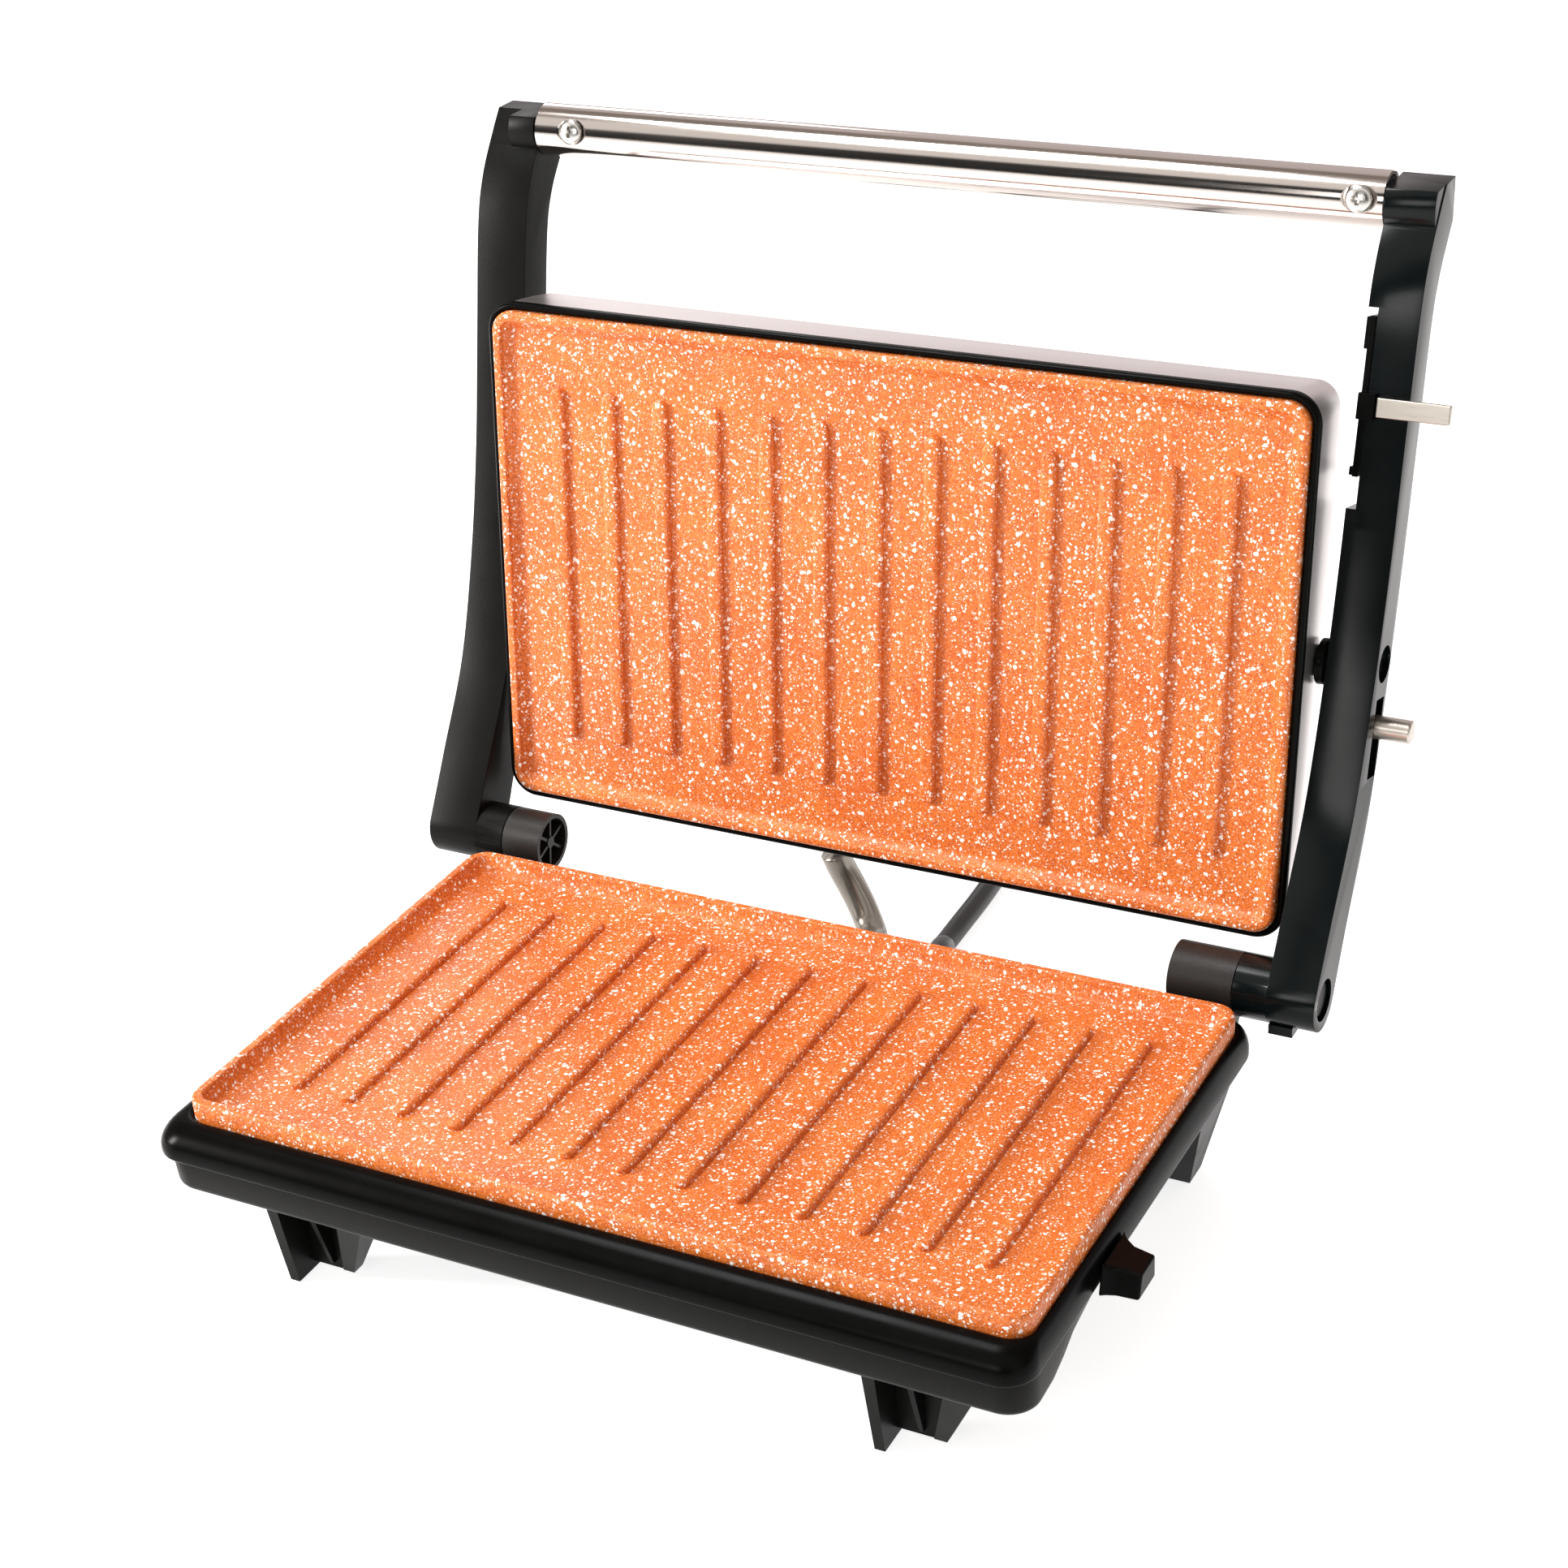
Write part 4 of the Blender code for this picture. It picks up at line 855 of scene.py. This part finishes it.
def upper_cover(gland):
    """The domed steel shell with a rolled top edge, the two lamp holes and the hole for the lead."""
    bottom = -PIVOT_ABOVE_RIM + 5.1
    edge = smooth_line(((0.75, 1.0), (0.5, 4.0), (0.2, 5.0), (-0.4, 5.8), (-1.4, 6.3), (-3.0, 6.5)), 4)
    outer = [(1.7, bottom), (1.55, -8.0), (1.15, -3.0)] + edge
    outer += [(-8.0, 6.9), (-14.0, 7.3), (-22.0, 7.9), (-30.0, 8.4), (-40.0, 8.8), (-50.0, 9.0)]
    skin = [plate_loop(grow, z) for grow, z in outer]
    lining = [plate_loop(outer[0][0] - 0.8, bottom)]
    lining += [plate_loop(grow - 0.8, z - (0.8 if k > 2 else 0.0)) for k, (grow, z) in enumerate(outer) if k]
    shell = loft("upper_cover_fine", lining[::-1] + skin, COVER)
    for x in (-9.0, 9.0):
        cut(shell, rod("lamp_hole", (x, LAMP_Y, -4), (x, LAMP_Y, 12), 3.2, 48, COVER))
    x, y, z = gland
    return cut(shell, rod("lead_hole", (x, y - 8, z), (x, y + 8, z), 4.4, 48, COVER))


def upper_frame():
    """The black frame round the upper plate, hollow above its rolled edge."""
    rim = -PIVOT_ABOVE_RIM
    outer = smooth_line(((0.4, 2.0), (1.1, 1.5), (1.8, 1.9), (2.05, 2.6), (2.05, 4.2), (1.6, 4.8)), 3)
    section = [plate_loop(grow, rim + up) for grow, up in outer]
    section += [
        plate_loop(0.5, rim + 4.8), plate_loop(0.5, rim + 8.1), plate_loop(-5.0, rim + 8.1),
        plate_loop(-5.0, rim + UPPER_PLATE_DEEP + GAP), plate_loop(-2.4, rim + UPPER_PLATE_DEEP + GAP),
        plate_loop(-2.4, rim + 4.2), plate_loop(0.4, rim + 3.9),
    ]
    return loft("upper_frame_fine", section, COVER, ring=True)


def lamp(name, x):
    """A round lens with a flange under the cover and a domed top."""
    profile = (
        (0.0, 4.2), (1.2, 4.2), (1.2, 2.9), (5.2, 2.9), (5.7, 2.7), (6.1, 2.2), (6.35, 1.4), (6.4, 0.5),
    )
    return lathe(name, profile, (x, LAMP_Y, -1.4), (0, 0, 1), 48, COVER)


def ringed_gland(name, start, direction, length, wide, place):
    """A moulded gland with a collar."""
    profile = (
        (0.0, wide - 1.1), (length - 3.4, wide - 1.1), (length - 3.4, wide), (length - 1.0, wide),
        (length - 0.3, wide - 0.3), (length, wide - 0.8),
    )
    return bevel(lathe(name, profile, start, direction, 48, place), 0.2, 2)


def strain_relief():
    """A tapered boot with ribs round it."""
    x, y, z = CORD_ROUTE[0]
    length = y - LEAD_WALL_Y - GAP
    profile = [(0.0, 3.9), (3.0, 3.9), (3.0, 3.4), (8.8, 3.4), (8.8, 4.15), (10.6, 4.15)]
    along = 10.6
    while along < length - 2.4:
        profile += [(along + 0.1, 3.55), (along + 1.0, 3.55), (along + 1.1, 3.95), (along + 2.2, 3.9)]
        along += 2.2
    profile += [(length - 0.4, 3.7), (length, 3.4)]
    return lathe("strain_relief_fine", profile, (x, LEAD_WALL_Y, z), (0, 1, 0), 48)


# Cord, coil and plug ----------------------------------------------------------


def coil_points():
    """Four strands, two by two, in one length: out low, in low, in high, out high."""
    out, into = COIL_RADIUS + CORD_RADIUS, COIL_RADIUS - CORD_RADIUS
    low, high = CORD_RADIUS + 0.1, 3 * CORD_RADIUS + 0.2
    # Each stage: degrees turned, and the strand's radius and height where it ends.
    stages = ((314, out, low), (42, into, low), (276, into, low), (42, into, high),
              (276, into, high), (42, out, high), (186, out, high))
    turn, radius, height = -14.0, out, low
    points = []
    for degrees, next_radius, next_height in stages:
        count = max(6, int(degrees / 9))
        for k in range(count):
            t = k / count
            r = radius + (next_radius - radius) * eased(t)
            a = math.radians(turn + degrees * t)
            points.append(
                (COIL_MIDDLE[0] + r * math.cos(a), COIL_MIDDLE[1] + r * math.sin(a),
                 height + (next_height - height) * eased(t))
            )
        turn, radius, height = turn + degrees, next_radius, next_height
    return points


def mains_cord():
    """The whole cord as one curve: the route, the coil and the tail."""
    line = smooth_line(list(CORD_ROUTE) + [(-8.4, 225.0, 3.4)] + coil_points() + list(TAIL_ROUTE), 2)
    curve = bpy.data.curves.new("mains_cord_fine", "CURVE")
    curve.dimensions = "3D"
    curve.bevel_depth = CORD_RADIUS * MM
    curve.bevel_resolution = 6
    curve.use_fill_caps = True
    spline = curve.splines.new("POLY")
    spline.points.add(len(line) - 1)
    for target, point in zip(spline.points, line):
        target.co = (*(STANDING @ Vector(point)), 1.0)
    spline.use_smooth = True
    made = bpy.data.objects.new("mains_cord_fine", curve)
    bpy.context.scene.collection.objects.link(made)
    return made


def cord_tie():
    """A flat band round the coil's bundle, with a small buckle on top."""
    x, y = COIL_MIDDLE[0] - COIL_RADIUS, COIL_MIDDLE[1]
    middle = COIL_HALF + 0.1
    loops = []
    for across in (-2.4, -2.0, 2.0, 2.4):
        edge = 0.25 if abs(across) > 2.2 else 0.0
        loop = []
        half = COIL_HALF + 1.2 - edge
        for px, pz, _ in rounded_box_loop(-half, half, -COIL_HALF - 0.05, half, 0, 3.4, 8):
            loop.append((x + px, y + across, middle + pz))
        loops.append(loop)
    band = loft("cord_tie_fine", loops)
    inner = []
    for across in (-3.0, 3.0):
        inner.append([
            (x + px, y + across, middle + pz)
            for px, pz, _ in rounded_box_loop(-COIL_HALF, COIL_HALF, -COIL_HALF + 0.3, COIL_HALF, 0, 2.6, 8)
        ])
    cut(band, loft("inside", inner))
    top = middle + COIL_HALF + 1.1
    return join(band, box("buckle", (x - 3, y - 2.9, top - 0.6), (x + 3, y + 2.9, top + 1.0)))


def plug():
    """A moulded two-pin plug with grip rings, pointing to -X."""
    profile = [(0.0, 3.9), (2.0, 4.2)]
    for k in range(4):
        start, groove, ring = 2 * k, 4.1 + 0.25 * k, 4.7 + 0.25 * k
        profile += [(start + 2.4, groove), (start + 3.2, groove), (start + 3.4, ring), (start + 4.2, ring)]
    profile += smooth_line(((11.0, 6.2), (13.0, 8.6), (18.0, 12.9), (24.0, 14.2), (30.0, 14.4)), 4)
    profile += [(36.6, 14.4), (37.5, 14.1), (38.0, 13.4)]
    body = lathe("plug_body_fine", profile, PLUG, (-1, 0, 0), 64)
    x, y, z = PLUG
    pins = []
    for side, word in ((-1, "near"), (1, "far")):
        spot = (x - 38.0 - GAP, y + side * 9.5, z)
        profile = ((0.0, 2.4), (16.6, 2.4), (17.8, 2.2), (18.6, 1.7), (19.0, 0.9))
        pins.append(lathe(f"plug_pin_{word}_fine", profile, spot, (-1, 0, 0), 40))
    return body, pins


def link_lead():
    """The sleeve from base to cover, as a tube of loops along its route."""
    line = [Vector(point) for point in smooth_line(LINK_ROUTE, 8)]
    sides = 32
    loops = []
    across = Vector((1, 0, 0))
    for k, point in enumerate(line):
        along = (line[min(k + 1, len(line) - 1)] - line[max(k - 1, 0)]).normalized()
        across = (across - along * across.dot(along)).normalized()
        other = along.cross(across)
        turns = [2 * math.pi * k / sides for k in range(sides)]
        loops.append([point + LINK_RADIUS * (math.cos(t) * across + math.sin(t) * other) for t in turns])
    return loft("link_lead_fine", loops)


# Assembly ---------------------------------------------------------------------


def assemble_base():
    base = "base"
    lower = cooking_plate(
        "lower_plate_fine", LOWER_PLATE_Y, RIM_Z, LOWER_PLATE_DEEP, 6.4, 4.8, True, STANDING
    )
    finished(lower, base, "copper", "lower_plate")
    finished(base_frame(), base, "gloss", "base_frame", sharp=50)
    finished(base_tray(), base, "satin", "base_tray", sharp=50)
    finished(lid_catch(), base, "gloss", "lid_catch")
    for side, word, inner_end in KNUCKLES:
        knuckle = hinge_knuckle(f"hinge_knuckle_{word}_fine", side, inner_end)
        finished(knuckle, base, "barrel", f"hinge_knuckle_{word}")
    x, y, z = LINK_ROUTE[0]
    length = y - LEAD_WALL_Y - 2 * GAP
    gland = ringed_gland("base_gland_fine", (x, LEAD_WALL_Y, z), (0, 1, 0), length, 4.8, STANDING)
    finished(gland, base, "rubber", "base_gland")
    finished(strain_relief(), base, "rubber", "strain_relief")
    head_depth = 2.2
    for number, (x, y) in enumerate(screw_places(), 1):
        head_top = (x, y, TRAY_BOTTOM_Z - GAP - head_depth)
        screw = lathe_screw(f"base_screw_{number}_fine", head_top, (0, 0, 1), 3.4, head_depth, 1.4, 11.0)
        finished(screw, base, "screw", f"base_screw_{number}")


def assemble_lid():
    lid = "lid"
    arms = ((lid_arm("left_arm_fine", -1), "left_arm", "satin"), (right_arm(), "right_arm", "arm"))
    for arm, node, finish in arms:
        finished(bevel(arm, 0.2, 2, 40.0), lid, finish, node)
    finished(handle_tube(), lid, "tube", "handle_tube")
    for screw, word in zip(handle_screws(), ("left", "right")):
        finished(screw, lid, "screw", f"handle_screw_{word}")
    for side, word, inner_end in KNUCKLES:
        outer = ARM_OUTER[side] - 0.9
        tip = outer - inner_end - 10
        profile = ((0.0, 4.4), (0.5, 5.0), (1.4, 5.25), (2.2, 5.25), (2.2, 2.6), (tip, 2.6))
        pin = lathe(f"hinge_pin_{word}_fine", profile, (side * outer, *HINGE), (-side, 0, 0), 48)
        finished(pin, lid, "gloss", f"hinge_pin_{word}")
        start = PIVOT_PIN_END - GAP
        profile = ((0.0, 2.2), (start - 115.8, 2.2), (start - 115.4, 2.1), (start - 115.2, 1.8))
        pin = lathe(f"pivot_pin_{word}_fine", profile, (side * start, *PIVOT), (-side, 0, 0), 32)
        finished(pin, lid, "screw", f"pivot_pin_{word}")
    strip, tab, pin = latch()
    finished(strip, "latch", "gloss", "latch_strip")
    finished(tab, "latch", "tab", "latch_tab")
    finished(pin, "latch", "tab", "latch_pin")


def assemble_cover():
    cover = "cover"
    upper = cooking_plate("upper_plate_fine", 0.0, -PIVOT_ABOVE_RIM, UPPER_PLATE_DEEP, 3.5, 2.8, False, COVER)
    finished(upper, cover, "copper", "upper_plate")
    gland_at = (LINK_ROUTE[-1][0], PLATE_DEPTH / 2 + 1.3, -3.4)
    finished(upper_frame(), cover, "gloss", "upper_frame", sharp=50)
    finished(upper_cover(gland_at), cover, "cover", "upper_cover", sharp=40)
    finished(lamp("power_lamp_fine", -9.0), cover, "red", "power_lamp")
    finished(lamp("ready_lamp_fine", 9.0), cover, "green", "ready_lamp")
    x, y, z = gland_at
    gland = ringed_gland("cover_gland_fine", (x, y - 6.2, z), (0, 1, 0), 9.6, 5.2, COVER)
    finished(gland, cover, "rubber", "cover_gland")
    for side, word in ((-1, "left"), (1, "right")):
        profile = ((0.0, 4.0), (3.4, 4.0), (3.4, 5.9), (4.9, 5.9), (5.4, 5.7), (5.6, 5.2))
        knob = lathe(f"pivot_knob_{word}_fine", profile, (side * 113.3, 0, 0), (side, 0, 0), 64, COVER)
        finished(bevel(knob, 0.25, 3), cover, "gloss", f"pivot_knob_{word}")


def finish_cad_nodes():
    """Materials for the pieces that stay as the CAD has them."""
    for nodes, finish in (
        (("lower_heating_element", "upper_heating_element", "thermal_fuse", "upper_thermal_fuse"), "screw"),
        (("lower_reflector", "upper_reflector"), "sheet"),
        (("thermostat",), "ceramic"), (("terminal_block",), "terminal"),
        (("handle_peg_left", "handle_peg_right"), "satin"),
    ):
        for node in nodes:
            shown = frame["nodes"][node]
            shown.data.materials.clear()
            shown.data.materials.append(LOOK[finish])


def add_leads():
    lead = link_lead()
    lead.data.materials.append(LOOK["sleeve"])
    lead.data.polygons.foreach_set("use_smooth", [True] * len(lead.data.polygons))
    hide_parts("link_lead")
    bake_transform(lead)
    cord = mains_cord()
    finished(cord, "base", "rubber", "mains_cord", "cord_coil", "cord_tail")
    tie = finished(bevel(cord_tie(), 0.2, 2), "base", "satin", "cord_tie")
    body, pins = plug()
    finished(bevel(body, 0.25, 2), "base", "rubber", "plug_body")
    for pin, word in zip(pins, ("near", "far")):
        finished(pin, "base", "nickel", f"plug_pin_{word}")


# Stage ------------------------------------------------------------------------


def floor():
    """A plain white floor that glows a little, so that its shadows stay soft."""
    bm = bmesh.new()
    bmesh.ops.create_grid(bm, x_segments=1, y_segments=1, size=6.0)
    made = piece("floor", bm, Matrix.Translation((0, 0, -0.0004)))
    paper = Nodes("floor_paper", (0.70, 0.70, 0.70), 0.9)
    paper.shader.inputs["Emission Color"].default_value = (1, 1, 1, 1)
    paper.shader.inputs["Emission Strength"].default_value = 0.80
    made.data.materials.append(paper.material)


def area_light(name, place, target, size, power, colour=(1, 1, 1)):
    light = bpy.data.lights.new(name, "AREA")
    light.shape = "RECTANGLE"
    light.size, light.size_y = size
    light.energy = power
    light.color = colour
    made = bpy.data.objects.new(name, light)
    bpy.context.scene.collection.objects.link(made)
    made.location = place
    made.rotation_euler = (Vector(target) - Vector(place)).to_track_quat("-Z", "Y").to_euler()


def sky():
    """White behind the press. What lights it and shows in its mirrors changes from front to back:
    dark in front, white up to above the front, warm grey overhead and pinkish-white behind."""
    world = bpy.data.worlds.new("studio")
    world.use_nodes = True
    tree = world.node_tree
    plain = tree.nodes["Background"]
    plain.inputs["Color"].default_value = (1, 1, 1, 1)
    room = tree.nodes.new("ShaderNodeBackground")
    direction = tree.nodes.new("ShaderNodeTexCoord").outputs["Generated"]
    split = tree.nodes.new("ShaderNodeSeparateXYZ")
    tree.links.new(direction, split.inputs[0])
    ramp = tree.nodes.new("ShaderNodeValToRGB")
    ramp.color_ramp.interpolation = "EASE"
    stops = ramp.color_ramp.elements
    stops[0].position, stops[0].color = 0.04, (0.020, 0.022, 0.022, 1)
    stops[1].position, stops[1].color = 1.0, (0.80, 0.72, 0.71, 1)
    for position, colour in (
        (0.11, (0.03, 0.03, 0.03)), (0.15, (1.3, 1.25, 1.2)), (0.30, (1.3, 1.25, 1.2)),
        (0.40, (0.34, 0.29, 0.25)), (0.66, (0.40, 0.35, 0.31)), (0.76, (0.98, 0.88, 0.87)),
        (0.93, (0.98, 0.88, 0.87)),
    ):
        stop = stops.new(position)
        stop.color = (*colour, 1)
    lean = tree.nodes.new("ShaderNodeMath")
    lean.operation = "MULTIPLY_ADD"
    lean.inputs[1].default_value = 0.5
    lean.inputs[2].default_value = 0.5
    tree.links.new(split.outputs["Y"], lean.inputs[0])
    tree.links.new(lean.outputs[0], ramp.inputs[0])
    tree.links.new(ramp.outputs[0], room.inputs["Color"])
    room.inputs["Strength"].default_value = 0.75
    choice = tree.nodes.new("ShaderNodeMixShader")
    tree.links.new(tree.nodes.new("ShaderNodeLightPath").outputs["Is Camera Ray"], choice.inputs[0])
    tree.links.new(room.outputs[0], choice.inputs[1])
    tree.links.new(plain.outputs[0], choice.inputs[2])
    tree.links.new(choice.outputs[0], tree.nodes["World Output"].inputs["Surface"])
    bpy.context.scene.world = world


def studio():
    bpy.context.scene.view_settings.view_transform = "Standard"
    sky()
    middle = (0, 0, 0.1)
    area_light("top", (-0.45, -0.10, 1.3), middle, (0.5, 0.4), 11)
    area_light("left", (-1.3, -0.75, 0.65), middle, (0.30, 0.4), 25, (1.0, 0.97, 0.94))
    area_light("front", (-0.1, -1.7, 0.8), middle, (0.7, 0.5), 6, (1.0, 0.98, 0.96))
    area_light("back_left", (-0.75, 1.0, 0.75), (-0.05, 0, 0.05), (0.4, 0.3), 1.5)


def camera():
    lens_data = bpy.data.cameras.new("camera")
    lens_data.lens = CAMERA_LENS
    lens_data.sensor_width = 36.0
    lens_data.shift_y = CAMERA_SHIFT
    lens_data.clip_start = 0.01
    made = bpy.data.objects.new("camera", lens_data)
    bpy.context.scene.collection.objects.link(made)
    made.rotation_mode = "QUATERNION"
    made.rotation_quaternion = Matrix(CAMERA_AXES).transposed().to_quaternion()
    made.location = SHIFT + Vector(CAMERA_PLACE)
    bpy.context.scene.camera = made


camera()
assemble_base()
assemble_lid()
assemble_cover()
finish_cad_nodes()
add_leads()
floor()
studio()
